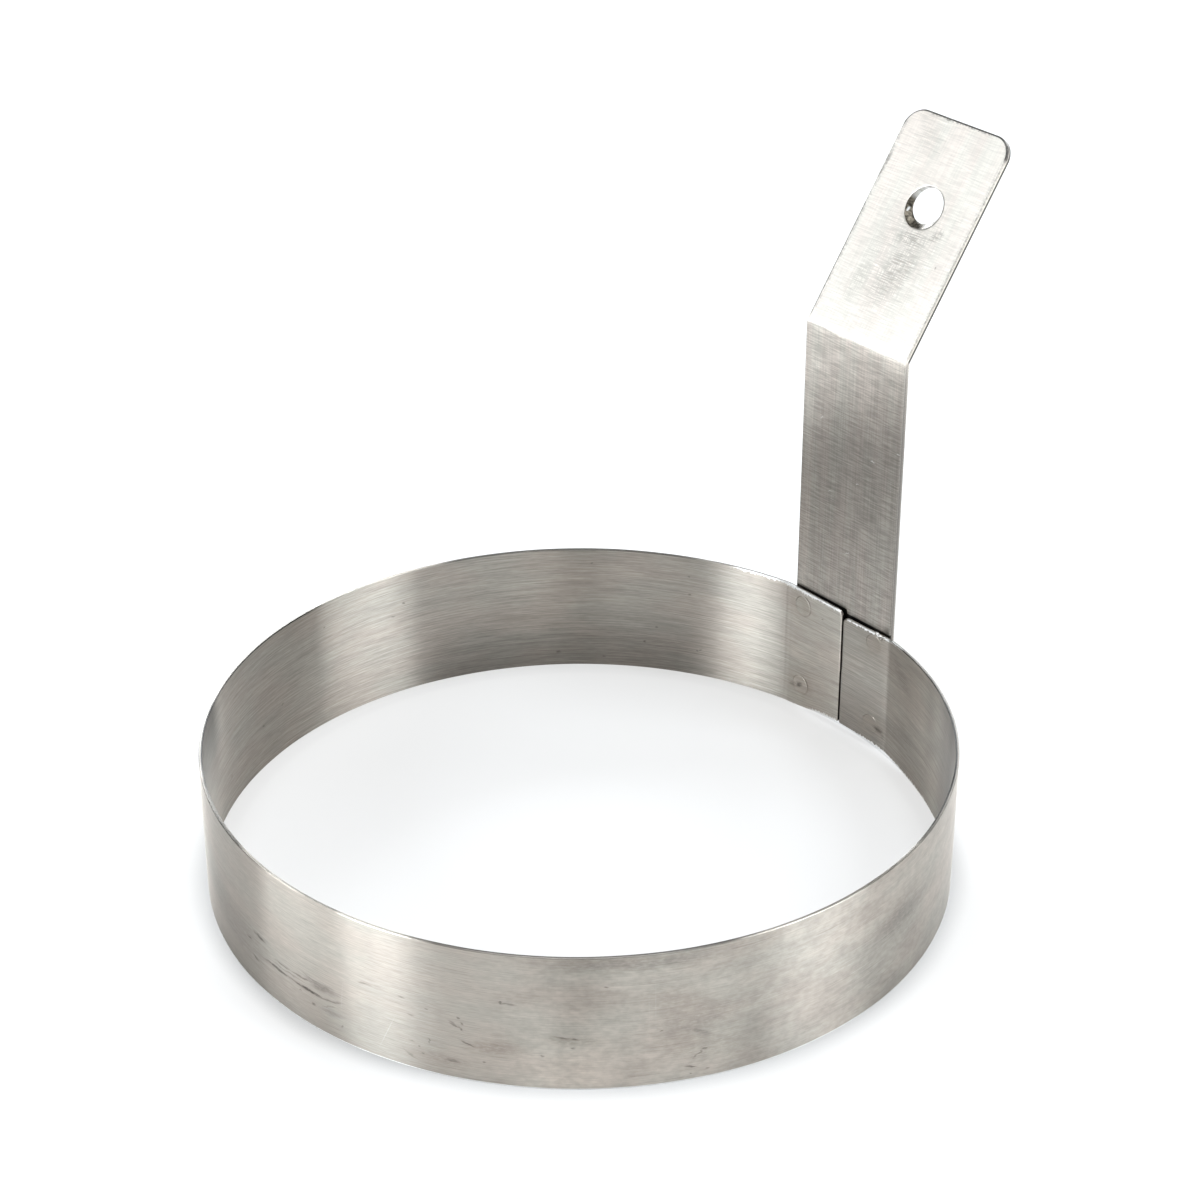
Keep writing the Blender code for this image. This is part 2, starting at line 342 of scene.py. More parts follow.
# Marks on the band, by face: from (length, width), to (length, width), width and strength
BAND_GRIME = on(
    OUTSIDE,
    (163.6, 8.4, 160.8, 8.1, 0.45, 0.7),
    (165.6, 6.6, 164.3, 6.6, 0.4, 0.5),
    (164.4, 4.5, 162.9, 4.1, 0.4, 0.5),
    (161.8, 5.5, 154.9, 5.5, 0.4, 0.75),
    (156, 5.6, 149, 5.3, 0.55, 0.95),
    (150.5, 5.2, 146.5, 6, 0.45, 0.65),
    (159.2, 6.7, 155.4, 6.7, 0.35, 0.5),
    (156, 6.7, 151.2, 6.8, 0.35, 0.6),
    (160, 6.1, 153, 6.2, 0.3, 0.4),
    (153.5, 7.6, 149, 7.4, 0.35, 0.45),
    (150, 3.6, 146, 3.9, 0.9, 0.3),
    (152, 6.9, 147.5, 6.9, 1.5, 0.5),
    (150.6, 6.7, 148, 7.2, 0.5, 0.4),
    (151.7, 3.6, 151.3, 3.5, 0.4, 0.6),
    (150.2, 4, 147.3, 5, 0.25, 0.35),
    (154, 4.6, 153.8, 4.6, 0.3, 0.5),
    (143.9, 10.6, 141.8, 10.7, 0.3, 0.45),
    (138.1, 10.6, 137.2, 10.5, 0.35, 0.5),
    (134.2, 9.6, 134, 9.6, 0.3, 0.5),
    (136.9, 8.3, 136, 8.1, 0.3, 0.4),
    (146.9, 2.3, 146.7, 2.3, 0.3, 0.5),
    (134.1, 5.3, 133.9, 4.7, 0.25, 0.5),
    (135.2, 3.7, 135, 3.7, 0.3, 0.5),
    (135, 2.7, 134.9, 2.7, 0.3, 0.5),
    (137.3, 2.6, 135.4, 1.4, 0.4, 0.35),
    (136.7, 4.2, 136, 4.2, 0.3, 0.4),
    (124.8, 12.7, 124.6, 12.7, 0.4, 0.6),
    (124.7, 12.6, 122.5, 12.5, 0.25, 0.45),
    (130.1, 9.4, 129.9, 9.4, 0.35, 0.6),
    (129.6, 8.7, 129.4, 8.6, 0.35, 0.5),
    (131.3, 8.6, 129.7, 8, 0.3, 0.5),
    (129.8, 8.2, 129.5, 7.6, 0.3, 0.5),
    (129.8, 6, 128.1, 5.4, 0.45, 0.6),
    (131.7, 2.7, 129.9, 2.5, 0.35, 0.4),
    (127.1, 3.2, 126.9, 3.2, 0.35, 0.5),
    (118.2, 8.1, 115.8, 7.9, 0.35, 0.45),
    (115.9, 7.9, 115, 7.8, 0.35, 0.5),
    (115.8, 6.5, 115.6, 6.4, 0.35, 0.5),
    (119.5, 5.1, 119.2, 5.1, 0.3, 0.5),
    (112, 15.6, 111.6, 15.5, 0.3, 0.5),
    (105.1, 8.2, 104.7, 8.1, 0.3, 0.5),
    (99.5, 4.4, 99.3, 4.3, 0.4, 0.6),
    (99.4, 4.3, 100.7, 3.3, 0.25, 0.45),
    (101.6, 2.1, 100.5, 1.8, 0.35, 0.6),
    (101.3, 1, 101.1, 0.9, 0.3, 0.6),
    (98.8, 1.3, 98.5, 1.3, 0.3, 0.5),
    (100.9, 7.8, 98.3, 6.3, 0.8, 0.3),
) + on(
    INSIDE,
    (247.3, 14.9, 247, 14.9, 0.4, 0.6),
    (245.5, 13.2, 245.3, 13.2, 0.35, 0.6),
    (232.8, 16.1, 232.6, 16.1, 0.35, 0.5),
    (223.3, 7.7, 223.1, 7.7, 0.4, 0.5),
    (218.1, 6.8, 217.9, 6.8, 0.35, 0.5),
    (207.6, 4.7, 207.4, 4.6, 0.4, 0.5),
    (271.4, 2.2, 271.1, 2.2, 0.4, 0.5),
    (278.4, 1.5, 278.2, 1.5, 0.35, 0.5),
    (284.8, 4.6, 284.6, 4.6, 0.35, 0.5),
    (286.5, 7.3, 286.3, 7.3, 0.35, 0.5),
    (292.7, 4.3, 292.5, 4.3, 0.4, 0.6),
    (293.3, 4.5, 293.1, 4.4, 0.3, 0.5),
    (291.4, 16.8, 291.2, 16.8, 0.35, 0.5),
    (276.6, 17.6, 276.4, 17.6, 0.3, 0.5),
    (291.6, 13.6, 291.4, 13.6, 0.3, 0.5),
    (315, 16.8, 314.6, 16.7, 0.3, 0.6),
)
WELD_GRIME = on(
    INSIDE,
    (310.9, 3.8, 310.4, 3.6, 0.9, 0.75),
    (310, 3.4, 308.9, 3.3, 0.8, 0.35),
    (7.5, 3.2, 8.3, 3.2, 1.2, 0.75),
    (8.4, 3.6, 8.9, 2.2, 1.2, 0.3),
)
BAND_STAINS = on(
    OUTSIDE,
    (128.5, 5.4, 123, 5.8, 2.6, 0.45),
    (137, 2.6, 128, 2.4, 2.4, 0.3),
    (119, 7.6, 113, 7.4, 2, 0.4),
    (106, 13, 100, 12, 5, 0.2),
    (104, 6, 94, 4, 5, 0.25),
    (144, 10.6, 139, 10.9, 0.8, 0.2),
) + on(
    INSIDE,
    (312.4, 3.7, 310.6, 3.9, 2.6, 0.35),
    (6.5, 3.3, 9, 3.2, 2.2, 0.3),
)

# Soft darker patches on the band, as marks: painted shade on its outer face, dark blotches on its inner face
BAND_SHADE_AND_BLOTCHES = on(
    OUTSIDE,
    (70, 11, 64, 11.5, 7, 0.25),
    (118, 19, 98, 19, 3, 0.25),
    (104, 9, 97, 9, 6, 0.18),
    (178, 8, 164, 6, 8, 0.18),
) + on(
    INSIDE,
    (10.5, 17.5, 15, 13.5, 3, 0.18),
    (9.5, 5, 16, 6.5, 4, 0.16),
    (22, 8, 27, 12, 3, 0.12),
)

# Bright scratches on the band, and bright spots on the upper right weld's beads, as marks
BAND_BRIGHT = on(
    OUTSIDE,
    (138.4, 7.6, 141.2, 1.2, 0.14, 0.16),
    (146.3, 9.7, 146.8, 4.7, 0.12, 0.2),
    (105.7, 15.8, 105.6, 8.7, 0.14, 0.11),
    (106.5, 14.2, 106.4, 9, 0.12, 0.08),
)
WELD_BRIGHT = on(INSIDE, (6.4, 20.1, 7.1, 20.1, 0.6, 0.9), (7.2, 19.9, 7.7, 19.9, 0.6, 0.9))

# Marks on the strap's front and in its hole, as on the band; its width runs from the right edge to the left
STRAP_GRIME = on(
    INSIDE,
    (85, 18.6, 82.6, 18.7, 0.5, 0.6),
    (79.8, 18.7, 77.2, 18.7, 0.35, 0.5),
    (74.4, 2.6, 74.2, 2.6, 0.35, 0.6),
    (94, 11.9, 93.7, 11.8, 0.5, 0.5),
    (46, 9.9, 38, 9.9, 5, 0.14),
    (86.5, 18.4, 85, 18.5, 0.8, 0.5),
)
STRAP_HATCH = on(
    INSIDE,
    (77, 6.5, 76.4, 10.5, 3.8, 0.85),
    (75.5, 7.5, 68, 9.5, 8, 0.75),
    (71, 13, 67, 14, 5, 0.5),
    (78.8, 4.3, 77.4, 5.6, 2, 0.8),
    (83, 2.4, 79, 3.2, 3, 0.25),
    (92, 14.5, 89, 12, 5, 0.25),
    (91, 5, 86, 2.5, 3, 0.12),
    (80, 9, 68, 9, 17, 0.4),
)
# Bright marks: painted highlights in the hole's lining, and bright specks on the strap's front
STRAP_BRIGHT = on(
    LINED,
    (84.3, 9.2, 82.6, 11.7, 1.6, 0.95),
    (80.6, 11.6, 80.3, 11.6, 0.35, 0.9),
) + on(
    INSIDE,
    (47.2, 15.4, 47.2, 14.8, 0.25, 0.8),
    (44.1, 5.4, 44.1, 4.8, 0.25, 0.8),
    (39.6, 8, 39.6, 7.5, 0.2, 0.8),
    (36.5, 13.2, 36.5, 12.6, 0.2, 0.8),
    (27.9, 9.3, 27.9, 8.8, 0.2, 0.8),
    (47.2, 0.5, 47.2, 0.1, 0.25, 0.8),
)

# Painted shadow on the strap in the gap behind the band, which shows as the seam and as the line behind the
# rim: where it ends up the strap, how much lower that is behind the band's right end, how soft that change
# is, and its tone
STRAP_GAP_SHADOW = (18.95, 19.15, 0.64, 0.1, 0.05)

# Painted light and shade along the strap, darkest partway up the leg and paler towards and over the tab:
# where it starts and ends to change, the tones there, and how much sooner that is for each millimetre across
STRAP_LIGHT_TONES = (
    (20, 43, 0.91, 0.79, 0),
    (43.5, 59, 1, 1.72, 0.35),
    (58.6, 61, 1, 1.3, -0.1),
    (61, 62.4, 1, 0.9, 0),
    (74, 86, 1, 1.1, 0),
)

# Painted reflections along the strap's front edge, dark lines in and near its rounded border and a paler
# stretch near the leg's left edge: how far inside the outline they start and end, their softness, the stretch
# along and across the strap, their tone, and how broken they are
STRAP_EDGE_REFLECTIONS = (
    (-0.1, 0.26, 0.05, 91, 96, -1, 20, 0.12, 0.1),
    (0.2, 0.45, 0.06, 91, 96, 4, 15, 0.55, 1),
    (-0.1, 0.12, 0.04, 61.5, 93, -1, 3, 0.6, 0.7),
    (0.1, 0.5, 0.1, 64, 93, -1, 3, 0.85, 1),
    (-0.1, 0.24, 0.06, 62, 79, 16, 20, 0.35, 0.3),
    (-0.1, 0.2, 0.06, 78, 92, 16, 20, 0.5, 0.9),
    (0.1, 0.6, 0.15, 63, 92, 16, 20, 0.75, 1),
    (-0.1, 0.12, 0.03, 16, 60.5, 16, 20, 0.55, 0.1),
    (0.3, 2.4, 1, 16, 50, 14, 20, 1.2, 0.2),
    (-0.1, 0.1, 0.03, 16, 60.5, -1, 3, 0.7, 0.3),
)
LINE_FADE = 0.4

# Thin dark line round the hole, on its right: from and to off the hole's middle, softness and tone; and
# where it fades out across the strap
HOLE_LINE = (3.05, 3.3, 0.05, 0.4)
HOLE_LINE_END = (6, 9)

# Dark line along the back border of the strap's narrow sides: from and to face, softness and tone
STRAP_BACK_LINE = (3.6, 8, 0.2, 0.12)

# Tone of the sheets' narrow edge faces: the band's are darker all round; the strap's are painted shade along
# its leg and a painted highlight along its tab
BAND_EDGE_TONE = 0.8
STRAP_EDGE_TONE = 0.68
TAB_EDGE_TONE = 1.5
# Painted shade on the band's two ends, which face each other across the seam: its tone and how far in it
# reaches
SEAM_SHADE_TONE = 0.15
SEAM_SHADE_WIDTH = 0.12

# Painted highlight, a bright line along the outer foot: how wide it is, and its strength
BAND_FOOT_HIGHLIGHT = (0.2, 0.95)

# Heat round a weld: where its halo starts to fade and ends, and how strong it is; and where its dark ring
# starts and ends, and how soft that is
HALO = (1, 4, 0.22)
SCORCH_RING = (1.55, 1.75, 0.12)

# Where dark rings show round the welds, which is on the right of the left ones: the length where they set in
RING_SIDE = (310.6, 311.6)

# Bright wear on the band's inner face along its rim, and a painted highlight along its foot: from, to,
# softness, and across from, to
BAND_WEAR_AND_FOOT_HIGHLIGHT = (
    (299, 307, 2, 19.62, 19.75),
    (306.5, 330, 1.5, 19.4, 19.75),
    (-5, 12, 1, 19.6, 19.8),
    (4, 60, 2, 0.3, 0.1),
    (313, 330, 1, 0.45, 0.2),
)
WEAR_AND_HIGHLIGHT_RAGGED = 1.3

# Sizes that follow from those above
SEAT_HALF_WIDTH = STRAP_WIDTH / 2 + SHOULDER_MARGIN
SHOULDER_CENTRE_Y = math.sqrt((RING_RADIUS - SHOULDER_RADIUS) ** 2 - SEAT_HALF_WIDTH ** 2)
SEAT_Y = SHOULDER_CENTRE_Y + SHOULDER_RADIUS
SHOULDER_END = math.atan2(SHOULDER_CENTRE_Y, SEAT_HALF_WIDTH)
SHOULDER_LENGTH = SHOULDER_RADIUS * (math.pi / 2 - SHOULDER_END)
HALF_GIRTH = SEAT_HALF_WIDTH + SHOULDER_LENGTH + RING_RADIUS * (SHOULDER_END + math.pi / 2)
SEAM_RIGHT = SEAM_SHIFT + SEAM_GAP / 2
BAND_LENGTH = 2 * HALF_GIRTH - SEAM_GAP
CONVEX_BEND_RADIUS = BEND_RADIUS + STRAP_THICKNESS
BEND_SETBACK = CONVEX_BEND_RADIUS * math.tan(BEND_ANGLE / 2)
LEG_LENGTH = BEND_HEIGHT - BEND_SETBACK - STRAP_FOOT_Z
BEND_LENGTH = CONVEX_BEND_RADIUS * BEND_ANGLE
STRAP_LENGTH = LEG_LENGTH + BEND_LENGTH + TAB_LENGTH - BEND_SETBACK
HOLE_U = STRAP_LENGTH - HOLE_FROM_TIP
HOLE_V = STRAP_WIDTH / 2 - HOLE_SHIFT


# Blanks

def grid_lines(length, loops, zones):
    """Places of grid lines along one direction of a blank.

    They stand close together along both ends, as loops says, and between as each zone, its end and
    its step, asks.
    """
    values = list(loops)
    for end, step in zones:
        start = values[-1]
        count = max(1, round((end - start) / step))
        values += [start + (end - start) * k / count for k in range(1, count + 1)]
    return values + [length - inset for inset in reversed(loops[:-1])]


def corner_point(a, b, loops, radius):
    """How far grid point (a, b), counted in from a corner, lies from the corner's two sides.

    The grid's outer loops run parallel to the blank's outline, round the corner's arc.
    """
    last = len(loops) - 1
    loop = min(a, b)
    inset = loops[loop]
    straight = loops[last] - max(radius, inset)
    turn_radius = max(radius - inset, 0)
    run = (straight + turn_radius * math.pi / 4) * (last - max(a, b)) / (last - loop)
    if run <= straight or turn_radius == 0:
        along, away = loops[last] - run, inset
    else:
        turn = (run - straight) / turn_radius
        along, away = radius - turn_radius * math.sin(turn), radius - turn_radius * math.cos(turn)
    return (along, away) if a > b else (away, along)


def blank_grid(us, vs, loops, radii):
    """Points (u, v) of a blank's grid, and how far each lies inside the outline.

    radii gives the corners: at the start's low and high sides, then at the end's.
    """
    last = len(loops) - 1
    points = np.zeros((len(us), len(vs), 2))
    inside = np.full((len(us), len(vs)), loops[last])
    for i, u in enumerate(us):
        a, at_end = min((i, 0), (len(us) - 1 - i, 1))
        for j, v in enumerate(vs):
            b, at_top = min((j, 0), (len(vs) - 1 - j, 1))
            points[i, j] = (u, v)
            if min(a, b) < last:
                inside[i, j] = loops[min(a, b)]
            if max(a, b) < last:
                du, dv = corner_point(a, b, loops, radii[2 * at_end + at_top])
                points[i, j] = (us[-1] - du if at_end else du, vs[-1] - dv if at_top else dv)
    return points, inside


def rounding(inside, radius):
    """How far a face falls away near its edge, at a distance inside the outline."""
    short = np.clip(radius - inside, 0, None)
    return radius - np.sqrt(np.clip(radius ** 2 - short ** 2, 0, None))


def outline_indices(count_u, count_v):
    """Grid indices round a blank's outline, once, as (i, j)."""
    path = [(i, 0) for i in range(count_u - 1)]
    path += [(count_u - 1, j) for j in range(count_v - 1)]
    path += [(i, count_v - 1) for i in range(count_u - 1, 0, -1)]
    path += [(0, j) for j in range(count_v - 1, 0, -1)]
    return path


def add_object(name, data):
    """Put a new object into the scene."""
    added = bpy.data.objects.new(name, data)
    bpy.context.scene.collection.objects.link(added)
    return added


class Sheet:
    """A mesh put together from points that know their coordinates on a blank."""

    def __init__(self):
        self.blank = []
        self.faces = []
        self.maps = []

    def add(self, u, v, w):
        """Add a point, and return its number."""
        self.blank.append((u, v, w))
        return len(self.blank) - 1

    def face(self, corners, flip, places=None):
        """Add a face; places are its corners' map coordinates, the blank's own by default."""
        places = places or [self.blank[c][:2] for c in corners]
        if flip:
            corners, places = corners[::-1], places[::-1]
        self.faces.append(corners)
        self.maps += places

    def ring(self, first, second, flip):
        """Join two closed loops of points, with a map that runs along them."""
        total = 0
        for k in range(len(first)):
            j = (k + 1) % len(first)
            start = Vector(self.blank[first[k]])
            step = (Vector(self.blank[first[j]]) - start).length
            width = (Vector(self.blank[second[k]]) - start).length
            places = [(total, 0), (total + step, 0), (total + step, width), (total, width)]
            self.face([first[k], first[j], second[j], second[k]], flip, places)
            total += step

    def band_between(self, first, second, flip):
        """Join two closed loops of points, with the blank's own map."""
        for k in range(len(first)):
            j = (k + 1) % len(first)
            self.face([first[k], first[j], second[j], second[k]], flip)

    def columns(self):
        """The points' blank coordinates, as three arrays."""
        return np.array(self.blank).T

    def build(self, name, places, notes, distances, material):
        """Make the object. Its points keep their place on the blank and their distance from a weld."""
        data = bpy.data.meshes.new(name)
        data.from_pydata(places.tolist(), [], self.faces)
        grain = data.uv_layers.new(name="grain")
        grain.data.foreach_set("uv", np.array(self.maps, np.float32).ravel() / MM)
        sheet = data.attributes.new("sheet", "FLOAT_VECTOR", "POINT")
        sheet.data.foreach_set("vector", notes.astype(np.float32).ravel())
        weld = data.attributes.new("weld", "FLOAT", "POINT")
        weld.data.foreach_set("value", (distances / MM).astype(np.float32))
        data.materials.append(material)
        data.shade_smooth()
        data.update()
        return add_object(name, data)


def blank_notes(u, v, far):
    """What the patterns read at points of a blank: length, width and face, in millimetres."""
    return np.stack([u / MM, v / MM, far * FACE_STEP], axis=1)


def two_faces(sheet, points, near, far, skip):
    """Add both faces of a blank and the rim between them; skip says which cells are left open."""
    count_u, count_v = near.shape
    numbers = []
    for depth in (near, far):
        numbers.append([
            [sheet.add(*points[i, j], depth[i, j]) for j in range(count_v)] for i in range(count_u)
        ])
    for side, grid in enumerate(numbers):
        for i in range(count_u - 1):
            for j in range(count_v - 1):
                if not skip(i, j):
                    cell = [grid[i][j], grid[i + 1][j], grid[i + 1][j + 1], grid[i][j + 1]]
                    sheet.face(cell, side == 1)
    path = outline_indices(count_u, count_v)
    sheet.ring([numbers[0][i][j] for i, j in path], [numbers[1][i][j] for i, j in path], True)
    return numbers


# Waves and roughness of shape

def smooth(x):
    """A step from 0 to 1 with soft ends."""
    x = np.clip(x, 0, 1)
    return x * x * (3 - 2 * x)


def wander(x, y, seed):
    """A gentle irregular wave between 0 and 1, from places in millimetres."""
    wave = np.sin(0.31 * x + 0.17 * y + seed) + np.sin(0.23 * x - 0.29 * y + 2.1 * seed)
    return 0.5 + 0.25 * (0.7 * wave + 0.6 * np.sin(0.53 * x + 0.11 * y + 3.7 * seed))


def jitter(x, seed):
    """A rough wave between -1 and 1 along an edge, from places in millimetres."""
    return (np.sin(4.1 * x + seed) + np.sin(7.3 * x + 2.3 * seed) + np.sin(12.7 * x + 0.7 * seed)) / 3


# Shape of the band

def band_wall(s):
    """Points of the band's outer face and the outward directions there.

    s is the distance along that face from the middle of the strap, positive towards +X.
    """
    side, reach = np.sign(s), np.abs(s)
    past_seat = reach - SEAT_HALF_WIDTH
    past_shoulder = past_seat - SHOULDER_LENGTH
    on_seat, on_shoulder = past_seat <= 0, past_shoulder <= 0
    shoulder_turn = math.pi / 2 - past_seat / SHOULDER_RADIUS
    turn = np.where(on_shoulder, shoulder_turn, SHOULDER_END - past_shoulder / RING_RADIUS)
    turn = np.where(on_seat, math.pi / 2, turn)
    out_x, out_y = side * np.cos(turn), np.sin(turn)
    x = np.where(on_shoulder, side * SEAT_HALF_WIDTH + out_x * SHOULDER_RADIUS, out_x * RING_RADIUS)
    y = np.where(on_shoulder, SHOULDER_CENTRE_Y + out_y * SHOULDER_RADIUS, out_y * RING_RADIUS)
    x = np.where(on_seat, s, x)
    y = np.where(on_seat, SEAT_Y, y)
    return x, y + RING_CENTRE_Y, out_x, out_y


def girth(u):
    """Distance along the band from the middle of the strap, of a place on its blank."""
    s = u + SEAM_RIGHT
    return np.where(s > HALF_GIRTH, s - 2 * HALF_GIRTH, s)


def blank_length(s):
    """Place on the band's blank of a distance along the band."""
    return np.where(s < SEAM_SHIFT, s + 2 * HALF_GIRTH, s) - SEAM_RIGHT


def band_edges(s):
    """How far the band's foot and rim stand inside its full height, near the seam."""
    right, from_seam = s > SEAM_SHIFT, np.abs(s - SEAM_SHIFT)
    reach = np.where(right, SEAM_LIFT_REACH_RIGHT, SEAM_LIFT_REACH_LEFT)
    lift = SEAM_LIFT * (1 - smooth(from_seam / reach))
    drop = SEAM_DROP * (1 - smooth(from_seam / SEAM_DROP_REACH)) * right
    return lift, drop


def band_height(s, v):
    """Height above the floor of a place on the band's blank."""
    lift, drop = band_edges(s)
    return lift + v * (BAND_HEIGHT - lift - drop) / BAND_HEIGHT


def blank_width(s, z):
    """Place across the band's blank of a height above the floor."""
    lift, drop = band_edges(s)
    return (z - lift) * BAND_HEIGHT / (BAND_HEIGHT - lift - drop)


def band_place(u, v, w):
    """Roll the band's blank into its ring."""
    s = girth(u)
    x, y, out_x, out_y = band_wall(s)
    off_seat = smooth((np.abs(s) - SEAT_HALF_WIDTH) / (2 * SEAT_HALF_WIDTH))
    lean = np.where(s > SEAM_SHIFT, SEAM_LEAN_RIGHT, SEAM_LEAN_LEFT) * (v / BAND_HEIGHT) ** 2
    lean = lean * (1 - smooth(np.abs(s - SEAM_SHIFT) / SEAM_LEAN_REACH))
    depth = BAND_THICKNESS - w + lean + BAND_WAVE * wander(s / MM, v / MM, 1) * off_seat
    return np.stack([x - out_x * depth, y - out_y * depth, band_height(s, v)], axis=1)


def dimple(distance, depth):
    """Depth of a weld's dent, with the low ridge that the electrode raised round it."""
    dent = np.clip(1 - (distance / DIMPLE_RADIUS) ** 2, 0, None) ** 2
    ridge = np.exp(-((distance - DIMPLE_RADIUS) / (DIMPLE_RIDGE_WIDTH * DIMPLE_RADIUS)) ** 2)
    return depth * (dent - DIMPLE_RIDGE_HEIGHT * ridge)


def weld_distance(x, z):
    """Distance from a place on the seat to the nearest weld."""
    found = [np.hypot(np.abs(x) - WELD_ACROSS, z - height) for height in WELD_HEIGHTS.values()]
    return np.min(found, axis=0)


def make_band(material):
    """The rolled band: thin sheet with rounded edges, round corners at its seam and four weld dents."""
    seat_end = SEAT_HALF_WIDTH - SEAM_RIGHT
    left_seat = BAND_LENGTH - (SEAT_HALF_WIDTH + SEAM_RIGHT - SEAM_GAP)
    us = grid_lines(BAND_LENGTH, BAND_LOOPS, (
        (seat_end, FINE),
        (seat_end + SHOULDER_LENGTH, FINE),
        (left_seat - SHOULDER_LENGTH, PLAIN),
        (left_seat, FINE),
        (BAND_LENGTH - BAND_LOOPS[-1], FINE),
    ))
    vs = grid_lines(BAND_HEIGHT, BAND_LOOPS, (
        (WELD_HEIGHTS["lower"] + DIMPLE_REACH, FINE),
        (WELD_HEIGHTS["upper"] - DIMPLE_REACH, PLAIN),
        (BAND_HEIGHT - BAND_LOOPS[-1], FINE),
    ))
    radii = (SEAM_FOOT_RADIUS, SEAM_TOP_RADIUS, SEAM_FOOT_RADIUS, SEAM_TOP_RADIUS)
    points, inside = blank_grid(us, vs, BAND_LOOPS, radii)
    s = girth(points[..., 0])
    z = band_height(s, points[..., 1])
    seam_side = 1 - smooth(np.abs(s - SEAM_SHIFT) / GROUND_EDGE_REACH)
    rough = 1 + GROUND_EDGE_ROUGHNESS * jitter(s / MM, 1)
    worn = GROUND_EDGE_RADIUS * seam_side * rough * (z > BAND_HEIGHT / 2)
    near = rounding(inside, BAND_EDGE_RADIUS + worn) + dimple(weld_distance(s, z), BAND_DIMPLE_DEPTH)
    far = BAND_THICKNESS - rounding(inside, BAND_EDGE_RADIUS)
    sheet = Sheet()
    two_faces(sheet, points, near, far, lambda i, j: False)
    u, v, w = sheet.columns()
    places = band_place(u, v, w)
    distances = weld_distance(girth(u), places[:, 2])
    notes = blank_notes(u, v, w > BAND_THICKNESS / 2)
    return sheet.build("band", places, notes, distances, material)


# Shape of the strap

def strap_place(u, v, w):
    """Bend the strap's blank."""
    turn = np.clip((u - LEG_LENGTH) / CONVEX_BEND_RADIUS, 0, BEND_ANGLE)
    out_y, out_z = np.cos(turn), -np.sin(turn)
    leg = np.minimum(u, LEG_LENGTH)
    past = np.clip(u - LEG_LENGTH - BEND_LENGTH, 0, None)
    depth = CONVEX_BEND_RADIUS - w
    y = STRAP_FACE_Y + CONVEX_BEND_RADIUS - out_y * depth - out_z * past
    z = STRAP_FOOT_Z + leg - out_z * depth + out_y * past
    return np.stack([STRAP_WIDTH / 2 - v, y, z], axis=1)


def hole_loop(sheet, centre_u, radius, depth):
    """A closed loop of points round the hole, counted like the outline of its square patch."""
    count = 4 * HOLE_PATCH_STEPS
    numbers = []
    for k in range(count):
        turn = 2 * math.pi * k / count - 3 * math.pi / 4
        here = radius * (1 + HOLE_ROUGHNESS * math.sin(3 * turn + 1) * math.sin(7 * turn))
        numbers.append(sheet.add(centre_u + here * math.cos(turn), HOLE_V + here * math.sin(turn), depth))
    return numbers


def between(sheet, first, second, share):
    """A loop of points part of the way between two others."""
    mixed = []
    for a, b in zip(first, second):
        start, end = Vector(sheet.blank[a]), Vector(sheet.blank[b])
        mixed.append(sheet.add(*start.lerp(end, share)))
    return mixed


def hole_edge(sheet, centre_u, radius, face_depth, inward):
    """Loops of points over the hole's rounded edge, from the face at face_depth into the hole."""
    loops = []
    for k in range(HOLE_EDGE_STEPS + 1):
        turn = math.pi / 2 * k / HOLE_EDGE_STEPS
        out = radius + HOLE_EDGE_RADIUS * (1 - math.sin(turn))
        depth = face_depth + inward * HOLE_EDGE_RADIUS * (1 - math.cos(turn))
        loops.append(hole_loop(sheet, centre_u, out, depth))
    return loops


def hole_lining(sheet):
    """Loops of points from the hole's front edge to its back edge, both rounded."""
    front = hole_edge(sheet, HOLE_U, HOLE_RADIUS, 0, 1)
    back = hole_edge(sheet, HOLE_U + HOLE_BACK_SHIFT, HOLE_BACK_RADIUS, STRAP_THICKNESS, -1)
    middle = [between(sheet, front[-1], back[-1], share) for share in HOLE_LINING_SHARES]
    return front + middle + back[::-1]


def make_hole(sheet, outlines):
    """Fill the square patch round the hanging hole on both faces, and line the hole between them.

    Returns the numbers of the lining's points.
    """
    loops = hole_lining(sheet)
    for first, second in zip(loops, loops[1:]):
        sheet.ring(first, second, False)
    for outline, edge, flip in ((outlines[0], loops[0], False), (outlines[1], loops[-1], True)):
        chain = [between(sheet, outline, edge, share) for share in HOLE_FACE_SHARES]
        chain = [outline, *chain, edge]
        for first, second in zip(chain, chain[1:]):
            sheet.band_between(first, second, flip)
    return sum(loops[1:-1], [])


def nearest(values, wanted):
    """Index of the value closest to the one wanted."""
    return min(range(len(values)), key=lambda i: abs(values[i] - wanted))


